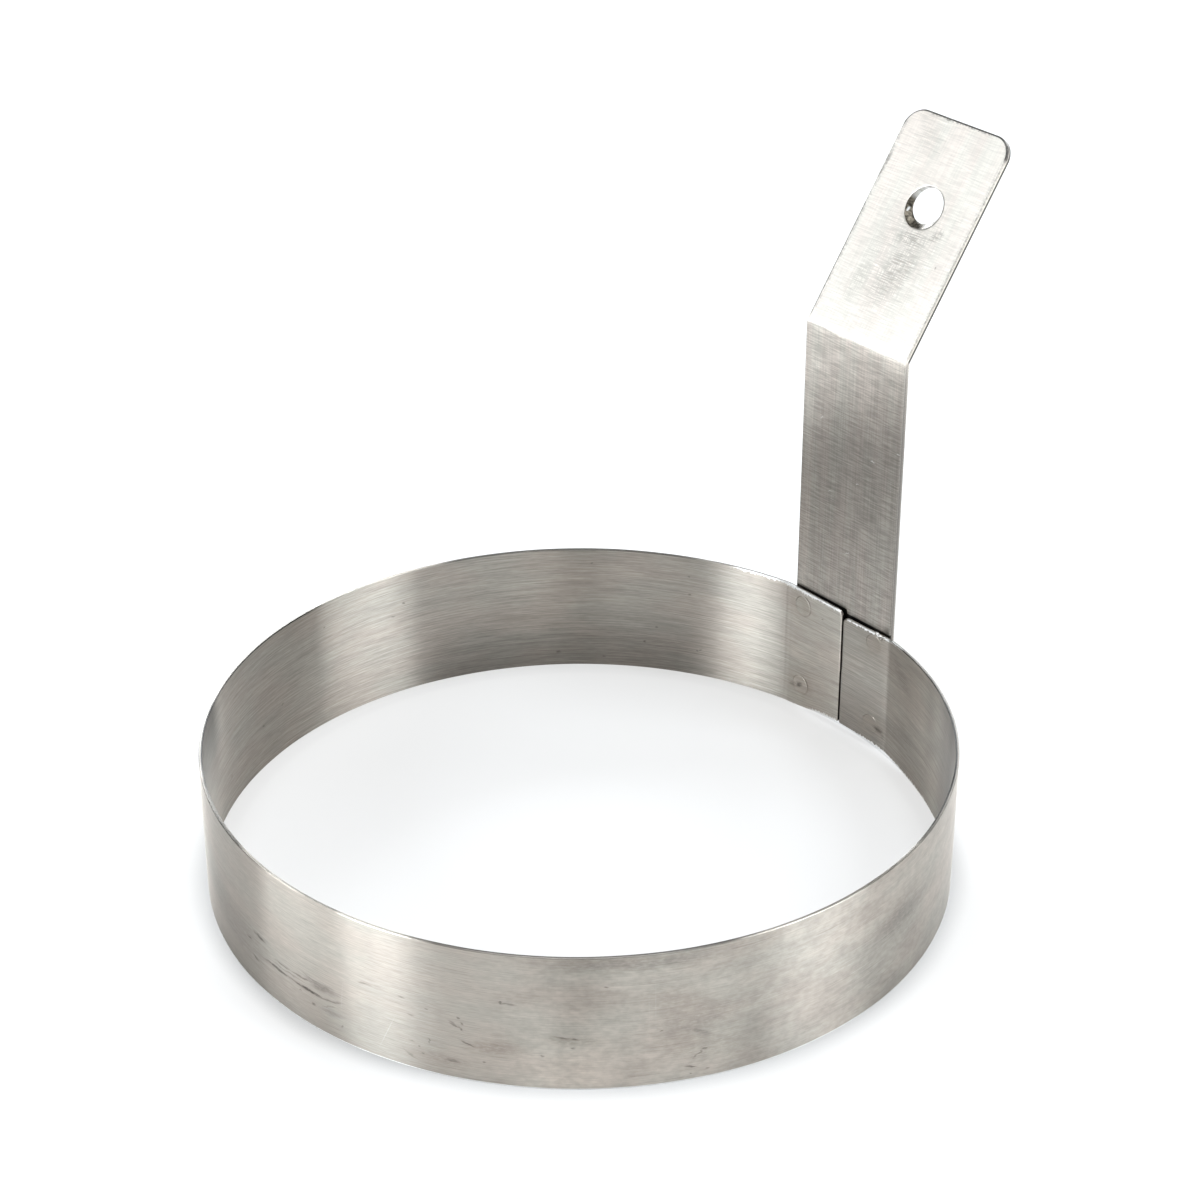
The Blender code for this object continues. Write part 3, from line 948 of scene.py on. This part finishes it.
def make_strap(material):
    """The bent strap, with its hanging hole and the dents of four welds in its back."""
    patch_step = 2 * HOLE_PATCH / HOLE_PATCH_STEPS
    edge = STRAP_LOOPS[-1]
    us = grid_lines(STRAP_LENGTH, STRAP_LOOPS, (
        (WELD_HEIGHTS["lower"] + DIMPLE_REACH - STRAP_FOOT_Z, FINE),
        (WELD_HEIGHTS["upper"] - DIMPLE_REACH - STRAP_FOOT_Z, PLAIN),
        (WELD_HEIGHTS["upper"] + DIMPLE_REACH - STRAP_FOOT_Z, FINE),
        (LEG_LENGTH, PLAIN),
        (LEG_LENGTH + BEND_LENGTH, BEND_LENGTH / BEND_STEPS),
        (HOLE_U - HOLE_PATCH, PLAIN),
        (HOLE_U + HOLE_PATCH, patch_step),
        (STRAP_LENGTH - edge, PLAIN),
    ))
    vs = grid_lines(STRAP_WIDTH, STRAP_LOOPS, (
        (HOLE_V - HOLE_PATCH, 2 * FINE),
        (HOLE_V + HOLE_PATCH, patch_step),
        (STRAP_WIDTH - edge, 2 * FINE),
    ))
    radii = (STRAP_FOOT_RADIUS, STRAP_FOOT_RADIUS, TAB_CORNER_RADIUS, TAB_CORNER_RADIUS)
    points, inside = blank_grid(us, vs, STRAP_LOOPS, radii)
    distance = weld_distance(STRAP_WIDTH / 2 - points[..., 1], points[..., 0] + STRAP_FOOT_Z)
    near = rounding(inside, STRAP_EDGE_RADIUS)
    far = STRAP_THICKNESS - near - dimple(distance, STRAP_DIMPLE_DEPTH)
    first_u, first_v = nearest(us, HOLE_U - HOLE_PATCH), nearest(vs, HOLE_V - HOLE_PATCH)
    last_u, last_v = first_u + HOLE_PATCH_STEPS, first_v + HOLE_PATCH_STEPS
    sheet = Sheet()

    def in_patch(i, j):
        return first_u <= i < last_u and first_v <= j < last_v

    numbers = two_faces(sheet, points, near, far, in_patch)
    path = outline_indices(HOLE_PATCH_STEPS + 1, HOLE_PATCH_STEPS + 1)
    lining = make_hole(sheet, [[grid[first_u + i][first_v + j] for i, j in path] for grid in numbers])
    u, v, w = sheet.columns()
    places = strap_place(u, v, w)
    distances = weld_distance(places[:, 0], places[:, 2])
    side = (w > STRAP_THICKNESS / 2).astype(float)
    side[lining] = -1
    return sheet.build("strap", places, blank_notes(u, v, side), distances, material)


# Spot welds

def cap_rings():
    """Radius of each ring of a weld's cap and how far it stands proud, from the middle outwards."""
    shares = [k / WELD_CAP_RINGS for k in range(1, WELD_CAP_RINGS + 1)]
    rings = [(WELD_CAP_RADIUS * share, WELD_CAP_PROUD * (1 - share ** WELD_CAP_FLATNESS)) for share in shares]
    return rings + [(WELD_CAP_RADIUS, -2 * WELD_CAP_PROUD)]


def circle(x, z, radius):
    """Points of a circle on the seat, as arrays of x and z."""
    turns = np.linspace(0, 2 * math.pi, WELD_SIDES, endpoint=False)
    return x + radius * np.cos(turns), z + radius * np.sin(turns)


def on_band(ring, depth):
    """Coordinates on the band's blank of a ring of points."""
    x, z = ring
    return blank_length(x), blank_width(x, z), depth


def on_strap(ring, depth):
    """Coordinates on the strap's blank of a ring of points."""
    x, z = ring
    return z - STRAP_FOOT_Z, STRAP_WIDTH / 2 - x, depth


def near_cap(x, z):
    """The rings on the band's inner face, and the neck behind them."""
    rings = []
    for radius, proud in [(0, WELD_CAP_PROUD)] + cap_rings():
        ring = circle(x, z, radius)
        rings.append(on_band(ring, dimple(weld_distance(*ring), BAND_DIMPLE_DEPTH) - proud))
    neck = circle(x, z, WELD_NECK_RADIUS)
    return rings + [on_band(neck, np.full(WELD_SIDES, BAND_THICKNESS / 2))]


def far_cap(x, z):
    """The neck in the strap, and the rings on the strap's back."""
    neck = circle(x, z, WELD_NECK_RADIUS)
    rings = [on_strap(neck, np.full(WELD_SIDES, STRAP_THICKNESS / 2))]
    for radius, proud in cap_rings()[::-1] + [(0, WELD_CAP_PROUD)]:
        ring = circle(x, z, radius)
        depth = STRAP_THICKNESS - dimple(weld_distance(*ring), STRAP_DIMPLE_DEPTH) + proud
        rings.append(on_strap(ring, depth))
    return rings


def add_rings(sheet, rings):
    """Add rings of points and the faces between them, closed at both ends by their middle points."""
    loops = []
    for ring in rings[1:-1]:
        loops.append([sheet.add(*point) for point in np.stack(ring, axis=1)])
    for first, second in zip(loops, loops[1:]):
        sheet.band_between(first, second, True)
    for ring, loop, flip in ((rings[0], loops[0], False), (rings[-1], loops[-1], True)):
        middle = sheet.add(*np.stack(ring, axis=1)[0])
        for k in range(len(loop)):
            sheet.face([middle, loop[k], loop[(k + 1) % len(loop)]], flip)


def bead(x, z, proud, width, height):
    """Rings of a bead of metal on the band's inner face."""
    rings = []
    for k in range(BEAD_STEPS + 1):
        turn = math.pi * k / BEAD_STEPS
        ring_x, ring_z = circle(0, 0, math.sin(turn))
        depth = np.full(WELD_SIDES, -proud - BEAD_BULGE * height * math.cos(turn))
        rings.append(on_band((x + ring_x * width, z + ring_z * height), depth))
    return rings


def make_weld(name, x, z, beads, material):
    """A weld nugget through both sheets, with a cap pressed into each, and the beads that it threw."""
    sheet = Sheet()
    near, far = near_cap(x, z), far_cap(x, z)
    add_rings(sheet, near + far)
    weld_points = len(sheet.blank)
    for size in beads:
        add_rings(sheet, bead(*size))
    u, v, w = sheet.columns()
    number = np.arange(len(u))
    first_far = (len(near) - 1) * WELD_SIDES
    in_strap = (number >= first_far) & (number < weld_points) & (number != weld_points - 2)
    places = np.where(in_strap[:, None], strap_place(u, v, w), band_place(u, v, w))
    distances = weld_distance(places[:, 0], places[:, 2])
    return sheet.build(name, places, blank_notes(u, v, in_strap), distances, material)


def make_welds(material):
    """The four spot welds, each in its node's place."""
    pieces = []
    for level, z in WELD_HEIGHTS.items():
        for side, x in (("left", -WELD_ACROSS), ("right", WELD_ACROSS)):
            beads = SPATTER if (level, side) == ("upper", "right") else ()
            piece = make_weld(f"weld_{level}_{side}", x, z, beads, material)
            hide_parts(f"spot_weld_{level}_{side}")
            pieces.append(piece)
    return pieces


# Materials

class Look:
    """A material's nodes, with short ways to add and join them."""

    def __init__(self, name):
        self.material = bpy.data.materials.new(name)
        self.material.use_nodes = True
        self.tree = self.material.node_tree
        self.tree.nodes.clear()

    def node(self, kind, inputs=(), **settings):
        """Add a node; inputs are pairs of a socket and what it takes, a value or another node's output."""
        node = self.tree.nodes.new("ShaderNode" + kind)
        for name, value in settings.items():
            setattr(node, name, value)
        for socket, value in inputs:
            if isinstance(value, bpy.types.NodeSocket):
                self.tree.links.new(value, node.inputs[socket])
            else:
                node.inputs[socket].default_value = value
        return node

    def attribute(self, name, output="Vector"):
        """What the mesh's points keep under a name."""
        return self.node("Attribute", attribute_name=name).outputs[output]

    def math(self, operation, *inputs):
        """A number worked out from others."""
        return self.node("Math", enumerate(inputs), operation=operation).outputs[0]

    def times(self, first, second):
        """One number times another."""
        return self.math("MULTIPLY", first, second)

    def step(self, value, low, high, at_low=0, at_high=1):
        """A number that goes softly from at_low to at_high as value goes from low to high."""
        inputs = enumerate((value, low, high, at_low, at_high))
        return self.node("MapRange", inputs, interpolation_type="SMOOTHSTEP").outputs[0]

    def vector(self, operation, *inputs, output="Vector"):
        """A vector, or its value, worked out from others."""
        return self.node("VectorMath", enumerate(inputs), operation=operation).outputs[output]

    def mix(self, share, first, second, blend="MIX"):
        """A colour between two others, each a node's output or red, green and blue."""
        inputs = [(0, share)]
        for socket, colour in ((6, first), (7, second)):
            inputs.append((socket, (*colour, 1) if isinstance(colour, tuple) else colour))
        return self.node("Mix", inputs, data_type="RGBA", blend_type=blend).outputs[2]

    def finish(self, shader):
        """Use a shader as the material's surface."""
        self.node("OutputMaterial", [("Surface", shader.outputs[0])])
        return self.material


class Steel(Look):
    """Brushed steel, built up on the sheet's own places: length, width and face, in millimetres."""

    def __init__(self, name, seed):
        super().__init__(name)
        self.where = self.attribute("sheet")
        parts = self.node("SeparateXYZ", [(0, self.where)]).outputs
        self.length, self.width, self.face = parts[0], parts[1], parts[2]
        self.seed = seed
        self.tone = 1.0
        self.relief = 0.5
        warp = self.node("Mapping", [("Vector", self.where), ("Scale", WARP_SCALE)]).outputs[0]
        warp = self.node("TexNoise", [("Vector", warp), ("Scale", 1), ("Detail", 3)]).outputs["Color"]
        warp = self.vector("SUBTRACT", warp, (0.5, 0.5, 0.5))
        self.warped = self.vector("ADD", self.where, self.vector("MULTIPLY", warp, WARP_REACH))

    def pattern(self, scale, detail):
        """Noise about 0.5, new for each call, with scale patterns to a millimetre each way."""
        self.seed += SEED_STEP
        place = [("Vector", self.where), ("Location", (self.seed, -self.seed, 0)), ("Scale", scale)]
        inputs = [("Vector", self.node("Mapping", place).outputs[0]), ("Scale", 1), ("Detail", detail)]
        return self.node("TexNoise", inputs).outputs[0]

    def shade(self, factor):
        """Make the steel's tone darker or lighter by a factor."""
        self.tone = self.times(self.tone, factor)

    def shade_where(self, here, tone):
        """Shade by a tone as far as here says."""
        self.shade(self.math("MULTIPLY_ADD", here, tone - 1, 1))

    def brush(self, layers, lone, across, share):
        """Add a share of layers of fine scratches, and lone ones, along the blank or across it."""
        for long, fine, detail, dark, light in layers:
            grain = self.pattern((fine, long, 1) if across else (long, fine, 1), detail)
            change = self.step(grain, *SCRATCH_RANGE, dark - 1, light - 1)
            self.shade(self.math("MULTIPLY_ADD", change, share, 1))
            self.relief = self.math("MULTIPLY_ADD", grain, light - dark, self.relief)
        for long, fine, rarity, tone in lone:
            grain = self.pattern((fine, long, 1) if across else (long, fine, 1), 1)
            self.shade(self.step(grain, rarity, rarity + LONE_FADE, 1, tone))

    def zone(self, value, start, end, soft):
        """1 where value lies between start and end, and softly down to 0 outside."""
        rise = self.step(value, start - soft, start + soft)
        return self.times(rise, self.step(value, end - soft, end + soft, 1, 0))

    def paint_light_zones(self, zones):
        """Paint light and shade on stretches of one face, from one tone low down to another higher up."""
        for face, start, end, soft, height, low, high in zones:
            inside = self.zone(self.face, face - FACE_REACH, face + FACE_REACH, FACE_FADE)
            inside = self.times(inside, self.zone(self.length, start, end, soft))
            change = self.step(self.width, 0, height, low - 1, high - 1)
            self.shade(self.math("MULTIPLY_ADD", inside, change, 1))

    def mark(self, where, face, start_u, start_v, end_u, end_v, width, strength):
        """Strength of one soft mark between two places of a face."""
        turn = math.atan2(end_v - start_v, end_u - start_u)
        half = (math.hypot(end_u - start_u, end_v - start_v) + width) / 2
        mapped = self.node("Mapping", [
            ("Vector", where),
            ("Location", ((start_u + end_u) / 2, (start_v + end_v) / 2, face)),
            ("Rotation", (0, 0, turn)),
            ("Scale", (MARK_REACH * half, MARK_REACH * width / 2, MARK_REACH)),
        ], vector_type="TEXTURE")
        inputs = [("Vector", mapped.outputs[0])]
        inward = self.node("TexGradient", inputs, gradient_type="SPHERICAL").outputs["Fac"]
        return self.step(inward, 0, MARK_FADE, 0, strength)

    def strongest(self, places, straight=False):
        """Strength of the strongest of a set of marks, which wander a little unless they are straight."""
        total = 0.0
        for place in places:
            mark = self.mark(self.where if straight else self.warped, *place)
            total = self.math("MAXIMUM", total, mark)
        return total

    def marks(self, places, breakup, straight=False):
        """Strength of a set of marks, broken up by a fine pattern."""
        worn = self.step(self.pattern((1.5, 4, 1), 2), 0.25, 0.6, 1 - breakup, 1)
        return self.times(self.strongest(places, straight), worn)

    def hatched(self, places):
        """Strength of a set of patches, drawn in fine scratches that cross each other."""
        across = self.step(self.pattern((6, 0.4, 1), 2), 0.42, 0.56)
        along = self.step(self.pattern((0.4, 6, 1), 2), 0.44, 0.6, 0, 0.8)
        return self.times(self.strongest(places), self.math("MAXIMUM", across, along))

    def shade_patches(self, places):
        """Darken soft patches, unevenly, by the shares given."""
        self.shade(self.math("SUBTRACT", 1, self.marks(places, SHADE_BREAKUP)))

    def paint_rim_light(self, places):
        """Paint highlights and shade on stretches of the rim, between two places from its near face to its
        far one.
        """
        border = BAND_HEIGHT / MM - RIM_WIDTH
        rim = self.step(self.width, border - RIM_FADE, border)
        for low, high, start, end, soft, tone in places:
            here = self.times(rim, self.zone(self.face, low, high, FACE_FADE))
            here = self.times(here, self.zone(self.length, start, end, soft))
            self.shade_where(here, tone)

    def shade_edges(self, change):
        """Change the tone of the narrow faces between the sheet's two sides by a share."""
        self.shade(self.math("MULTIPLY_ADD", self.zone(self.face, *NARROW_SIDES), change, 1))

    def inset(self, length, width, radius):
        """How far inside the outline of a blank, with two round corners at its end, up to their radius."""
        from_end = self.math("SUBTRACT", length, self.length)
        from_side = self.math("MINIMUM", self.width, self.math("SUBTRACT", width, self.width))
        ends = self.math("MAXIMUM", self.math("SUBTRACT", radius, from_end), 0)
        sides = self.math("MAXIMUM", self.math("SUBTRACT", radius, from_side), 0)
        squares = self.math("MULTIPLY_ADD", ends, ends, self.times(sides, sides))
        return self.math("SUBTRACT", radius, self.math("SQRT", squares))

    def paint_edge_reflections(self, inset, lines):
        """Paint lines of reflection that run along the outline of the near face."""
        near = self.zone(self.face, *NEAR_LINES)
        for inner, outer, soft, start, end, low, high, tone, broken in lines:
            here = self.times(near, self.zone(inset, inner, outer, soft))
            here = self.times(here, self.zone(self.length, start, end, LINE_FADE))
            here = self.times(here, self.zone(self.width, low, high, LINE_FADE))
            worn = self.step(self.pattern((2.2, 2.2, 1), 3), 0.42, 0.58, 1 - broken, 1)
            self.shade_where(self.times(here, worn), tone)

    def wear_and_highlight(self, places):
        """Strength of bright wear along the inner face's rim, and of a painted highlight along its foot, with
        a ragged border.
        """
        ragged = self.math("MULTIPLY_ADD", self.pattern((3.2, 1.2, 1), 3), WEAR_AND_HIGHLIGHT_RAGGED, -WEAR_AND_HIGHLIGHT_RAGGED / 2)
        across = self.math("ADD", self.width, ragged)
        total = 0.0
        for start, end, soft, low, high in places:
            ends = (0, 1) if low < high else (1, 0)
            rise = self.step(across, min(low, high), max(low, high), *ends)
            found = self.times(self.zone(self.length, start, end, soft), rise)
            total = self.math("MAXIMUM", total, found)
        return self.times(total, self.step(self.face, *WEAR_AND_HIGHLIGHT_ENDS, 1, 0))

    def cast(self, colour, drift, casts):
        """A colour with slow drifts from one cast to another, under the tone so far."""
        cloud = self.step(self.pattern(drift, 3), 0.35, 0.65)
        cast = self.mix(cloud, *casts)
        colour = self.mix(1.0, colour, cast, "MULTIPLY")
        return self.mix(1.0, colour, self.tone, "MULTIPLY")

    def lining(self, colour):
        """Painted shade in the lining of a hole, dark and striped."""
        stripes = self.step(self.pattern((2.5, 2.5, 1), 3), 0.35, 0.65, 0.5, 1.7)
        dark = self.mix(1.0, HOLE_LINING_SHADE, stripes, "MULTIPLY")
        return self.mix(self.step(self.face, *LINING_ENDS, 1, 0), colour, dark)

    def heat(self, colour, ringed=1.0):
        """Straw-coloured haloes round the welds, and broken dark rings where ringed says."""
        away = self.attribute("weld", "Fac")
        halo = self.step(away, *HALO, 0)
        halo = self.times(halo, self.step(self.pattern((0.4, 0.4, 1), 2), 0.3, 0.6))
        ring = self.zone(away, *SCORCH_RING)
        ring = self.times(ring, self.step(self.pattern((0.35, 0.35, 1), 1), 0.4, 0.6, 0.1, 0.7))
        ring = self.times(ring, ringed)
        return self.mix(ring, self.mix(halo, colour, STRAW), SCORCH)

    def metal(self, colour, gloss, dull):
        """The finished steel, duller where grime lies on it."""
        roughness, stretch, rotation = gloss
        rough = self.step(self.relief, 0.4, 0.6, roughness + GLOSS_SPREAD, roughness - GLOSS_SPREAD)
        rough = self.math("MULTIPLY_ADD", dull, GRIME_DULLNESS, rough)
        tangent = self.node("Tangent", direction_type="UV_MAP", uv_map="grain").outputs[0]
        relief = [("Strength", BUMP_STRENGTH), ("Distance", BUMP_DEPTH), ("Height", self.relief)]
        bump = self.node("Bump", relief).outputs[0]
        return self.finish(self.node("BsdfPrincipled", [
            ("Base Color", colour),
            ("Metallic", 1),
            ("Roughness", rough),
            ("Anisotropic", stretch),
            ("Anisotropic Rotation", rotation),
            ("Tangent", tangent),
            ("Normal", bump),
        ]))


def rolled_steel(name):
    """Steel of the band and its welds, whose scratches run on from one to the other."""
    steel = Steel(name, 3)
    start, end, soft, left = MOTTLED
    outer = steel.step(steel.face, *OUTER_SETS_IN)
    mottled = steel.times(outer, steel.zone(steel.length, start, end, soft))
    steel.brush(BAND_SCRATCHES, BAND_LONE, False, steel.math("MULTIPLY_ADD", mottled, left - 1, 1))
    steel.brush(BAND_MOTTLES, (), False, mottled)
    steel.brush(INNER_SCRATCHES, (), False, steel.math("SUBTRACT", 1, outer))
    # Painted highlights and shade in zones of the faces
    steel.paint_light_zones(BAND_LIGHT_ZONES)
    return steel


def band_steel():
    """The band: scratched lengthwise, grimy and stained at the front, scorched round the welds, with painted
    light and shade.
    """
    steel = rolled_steel("band_steel")
    steel.shade_edges(BAND_EDGE_TONE - 1)
    # Painted highlights and shade along the rim
    steel.paint_rim_light(BAND_RIM_LIGHT)
    # Painted shade on the outer face, dark blotches on the inner
    steel.shade_patches(BAND_SHADE_AND_BLOTCHES)
    # Painted shade on the band's ends in the seam's gap
    last = BAND_LENGTH / MM
    steel.shade(steel.step(steel.length, 0, SEAM_SHADE_WIDTH, SEAM_SHADE_TONE, 1))
    steel.shade(steel.step(steel.length, last - SEAM_SHADE_WIDTH, last, 1, SEAM_SHADE_TONE))
    outer = steel.step(steel.face, *OUTER_SETS_IN)
    # The inner face takes the darker colour, as painted shade
    colour = steel.cast(steel.mix(outer, BAND_INNER_SHADED, BAND_OUTER), BAND_DRIFT, BAND_CASTS)
    colour = steel.mix(steel.marks(BAND_STAINS, STAIN_BREAKUP), colour, STAIN)
    colour = steel.heat(colour, steel.step(steel.length, *RING_SIDE))
    # Wear along the inner rim, and a painted highlight along the inner foot
    colour = steel.mix(steel.wear_and_highlight(BAND_WEAR_AND_FOOT_HIGHLIGHT), colour, BRIGHT)
    colour = steel.mix(steel.marks(BAND_BRIGHT, SCRATCH_BREAKUP, True), colour, BRIGHT)
    # Painted highlight along the outer foot
    foot_width, foot_strength = BAND_FOOT_HIGHLIGHT
    foot = steel.step(steel.width, foot_width / 2, foot_width, foot_strength, 0)
    colour = steel.mix(steel.times(foot, outer), colour, FOOT_HIGHLIGHT_COLOUR)
    grime = steel.marks(BAND_GRIME + WELD_GRIME, GRIME_BREAKUP)
    return steel.metal(steel.mix(grime, colour, GRIME), BAND_GLOSS, grime)


def strap_steel():
    """The strap: scratched across and more faintly lengthwise, with painted light making it paler towards its
    tab.
    """
    steel = Steel("strap_steel", 5)
    bend = (LEG_LENGTH / MM, (LEG_LENGTH + BEND_LENGTH) / MM)
    share = steel.step(steel.length, *bend, 1, TAB_SCRATCH_SHARE)
    steel.brush(STRAP_SCRATCHES, STRAP_LONE, True, share)
    steel.brush(STRAP_CROSS_SCRATCHES, (), False, share)
    paint_strap_light(steel)
    # Painted shade on the leg's narrow sides, a painted highlight on the tab's
    steel.shade_edges(steel.step(steel.length, *bend, STRAP_EDGE_TONE - 1, TAB_EDGE_TONE - 1))
    shade_back_line(steel, bend)
    shade_hole_line(steel)
    # Painted reflections along the strap's front edge
    inset = steel.inset(STRAP_LENGTH / MM, STRAP_WIDTH / MM, TAB_CORNER_RADIUS / MM)
    steel.paint_edge_reflections(inset, STRAP_EDGE_REFLECTIONS)
    colour = steel.heat(steel.cast(STRAP_STEEL, STRAP_DRIFT, STRAP_CASTS))
    colour = steel.mix(steel.hatched(STRAP_HATCH), colour, HATCH)
    # Painted shade in the hole's lining
    colour = steel.lining(colour)
    # Painted highlights in the hole's lining, bright specks on the front
    colour = steel.mix(steel.marks(STRAP_BRIGHT, SPOT_BREAKUP), colour, BRIGHT)
    grime = steel.marks(STRAP_GRIME, GRIME_BREAKUP)
    return steel.metal(steel.mix(grime, colour, GRIME), STRAP_GLOSS, grime)


def paint_strap_light(steel):
    """Paint shadow behind the band's rim, and light and shade along the strap up to its tab."""
    # Painted shadow in the gap behind the band's rim and seam
    end_low, end_high, drop, soft, dark = STRAP_GAP_SHADOW
    seam = (STRAP_WIDTH / 2 - SEAM_SHIFT) / MM
    behind_right = steel.step(steel.width, seam - soft, seam + soft, drop, 0)
    in_gap = steel.step(steel.math("ADD", steel.length, behind_right), end_low, end_high, 1, 0)
    in_gap = steel.times(in_gap, steel.step(steel.face, *GAP_ENDS, 1, 0))
    steel.shade_where(in_gap, dark)
    # Painted light and shade along the strap's length
    for start, end, first, last, lean in STRAP_LIGHT_TONES:
        middle = lean * STRAP_WIDTH / 2 / MM
        place = steel.math("MULTIPLY_ADD", steel.width, lean, steel.length)
        steel.shade(steel.step(place, start + middle, end + middle, first, last))


def shade_back_line(steel, bend):
    """Shade the back border of the strap's narrow sides, from the bend on."""
    *faces, tone = STRAP_BACK_LINE
    line = steel.times(steel.zone(steel.face, *faces), steel.step(steel.length, *bend))
    steel.shade_where(line, tone)


def shade_hole_line(steel):
    """Shade a thin line round the right side of the hole's front edge."""
    *distances, tone = HOLE_LINE
    place = steel.vector("SUBTRACT", steel.where, (HOLE_U / MM, HOLE_V / MM, INSIDE))
    away = steel.vector("LENGTH", place, output="Value")
    line = steel.times(steel.zone(away, *distances), steel.step(steel.width, *HOLE_LINE_END, 1, 0))
    steel.shade_where(line, tone)


def weld_steel():
    """The welds: the band's scratches run on over them, a little duller, scorched and spotted."""
    steel = rolled_steel("weld_steel")
    colour = steel.cast(WELD_STEEL, BAND_DRIFT, BAND_CASTS)
    colour = steel.heat(colour, steel.step(steel.length, *RING_SIDE))
    colour = steel.mix(steel.marks(WELD_BRIGHT, SPOT_BREAKUP), colour, BRIGHT)
    grime = steel.marks(WELD_GRIME, GRIME_BREAKUP)
    return steel.metal(steel.mix(grime, colour, GRIME), WELD_GLOSS, grime)


def floor_material():
    """Pale floor, white to the camera and in reflections, which keeps the object's shadow and a painted
    contact shadow.
    """
    look = Look("floor")
    path = look.node("LightPath")
    seen = look.math("MAXIMUM", path.outputs["Is Camera Ray"], path.outputs["Is Glossy Ray"])
    seen = look.math("MAXIMUM", seen, path.outputs["Is Transmission Ray"])
    # Painted contact shadow: the glow dims by ambient occlusion near the ring, but hardly inside it
    contact = [("Distance", FLOOR_CONTACT)]
    clear = look.node("AmbientOcclusion", contact, samples=FLOOR_CONTACT_SAMPLES).outputs["AO"]
    middle = (0, RING_CENTRE_Y, -FLOOR_DEPTH)
    place = look.node("NewGeometry").outputs["Position"]
    away = look.vector("DISTANCE", place, middle, output="Value")
    inside = look.step(away, RING_RADIUS - BAND_THICKNESS, RING_RADIUS, 1 - FLOOR_CONTACT_INSIDE, 0)
    seen = look.times(seen, look.math("MAXIMUM", clear, inside))
    shader = look.node("BsdfPrincipled", [
        ("Base Color", (FLOOR_TONE, FLOOR_TONE, FLOOR_TONE, 1)),
        ("Roughness", FLOOR_ROUGHNESS),
        ("Specular IOR Level", 0),
        ("Emission Color", (*FLOOR_GLOW_COLOUR, 1)),
        ("Emission Strength", look.times(seen, FLOOR_GLOW)),
    ])
    return look.finish(shader)


# Studio

def make_floor():
    """A plain round floor just under the ring's foot."""
    turns = np.linspace(0, 2 * math.pi, FLOOR_SIDES, endpoint=False)
    rim = [(FLOOR_RADIUS * math.cos(t), FLOOR_RADIUS * math.sin(t), -FLOOR_DEPTH) for t in turns]
    data = bpy.data.meshes.new("floor")
    data.from_pydata(rim, [], [list(range(len(rim)))])
    data.materials.append(floor_material())
    floor = add_object("floor", data)


def around(azimuth, elevation, distance):
    """A point round the middle of the ring's footprint; azimuth is in degrees, and the camera's is 270."""
    turn, rise = math.radians(azimuth) + CAMERA_AZIMUTH, math.radians(elevation)
    level = distance * math.cos(rise)
    return Vector((level * math.cos(turn), level * math.sin(turn) + RING_CENTRE_Y, distance * math.sin(rise)))


def make_softbox(name, azimuth, elevation, width, height, brightness):
    """A rectangular lamp that faces the ring."""
    lamp = bpy.data.lights.new(name, "AREA")
    lamp.shape = "RECTANGLE"
    lamp.size, lamp.size_y = width, height
    lamp.energy = brightness * math.pi * width * height
    lamp.color = SOFTBOX_COLOUR
    box = add_object(name, lamp)
    box.location = around(azimuth, elevation, SOFTBOX_DISTANCE)
    towards = Vector((0, RING_CENTRE_Y, 0)) - box.location
    box.rotation_euler = towards.to_track_quat("-Z", "Y").to_euler()


def make_world():
    """An even grey studio round everything."""
    world = bpy.data.worlds.new("studio")
    world.use_nodes = True
    background = world.node_tree.nodes["Background"]
    background.inputs["Color"].default_value = (*WORLD_COLOUR, 1)
    background.inputs["Strength"].default_value = WORLD_GREY
    bpy.context.scene.world = world


def make_camera():
    """The camera at the photograph's place, looking at the object as the photograph does."""
    location = around(CAMERA_SIDE, math.degrees(CAMERA_ELEVATION), CAMERA_DISTANCE)
    forward = Vector((0, math.cos(CAMERA_ELEVATION), -math.sin(CAMERA_ELEVATION)))
    right = Vector((1, 0, 0))
    rows = Matrix((right, right.cross(forward), forward))
    aim = Matrix.Rotation(CAMERA_ROLL, 3, "Z") @ Matrix.Rotation(CAMERA_PITCH, 3, "X")
    rows = aim @ Matrix.Rotation(CAMERA_YAW, 3, "Y") @ rows
    turned = Matrix((rows[0], rows[1], -rows[2])).transposed()
    turned = Matrix.Rotation(CAMERA_AZIMUTH, 3, "Z") @ turned
    data = bpy.data.cameras.new("camera")
    data.sensor_width = SENSOR_WIDTH
    data.lens = FOCAL_PIXELS * SENSOR_WIDTH / IMAGE_WIDTH
    data.clip_start, data.clip_end = CAMERA_CLIP
    camera = add_object("camera", data)
    camera.matrix_world = Matrix.Translation(location) @ turned.to_4x4()
    bpy.context.scene.camera = camera


def make_object():
    """The six pieces, each in the place of its node."""
    band = make_band(band_steel())
    strap = make_strap(strap_steel())
    welds = make_welds(weld_steel())
    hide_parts("ring_band")
    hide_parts("handle_strap")
    for piece, slot in [(band, "band_steel"), (strap, "strap_steel")] + [(w, "weld_steel") for w in welds]:
        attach(piece, "root")


make_camera()
make_floor()
make_world()
for box_name, box_values in SOFTBOXES.items():
    make_softbox(box_name, *box_values)
make_object()
bpy.context.scene.view_settings.view_transform = "Standard"
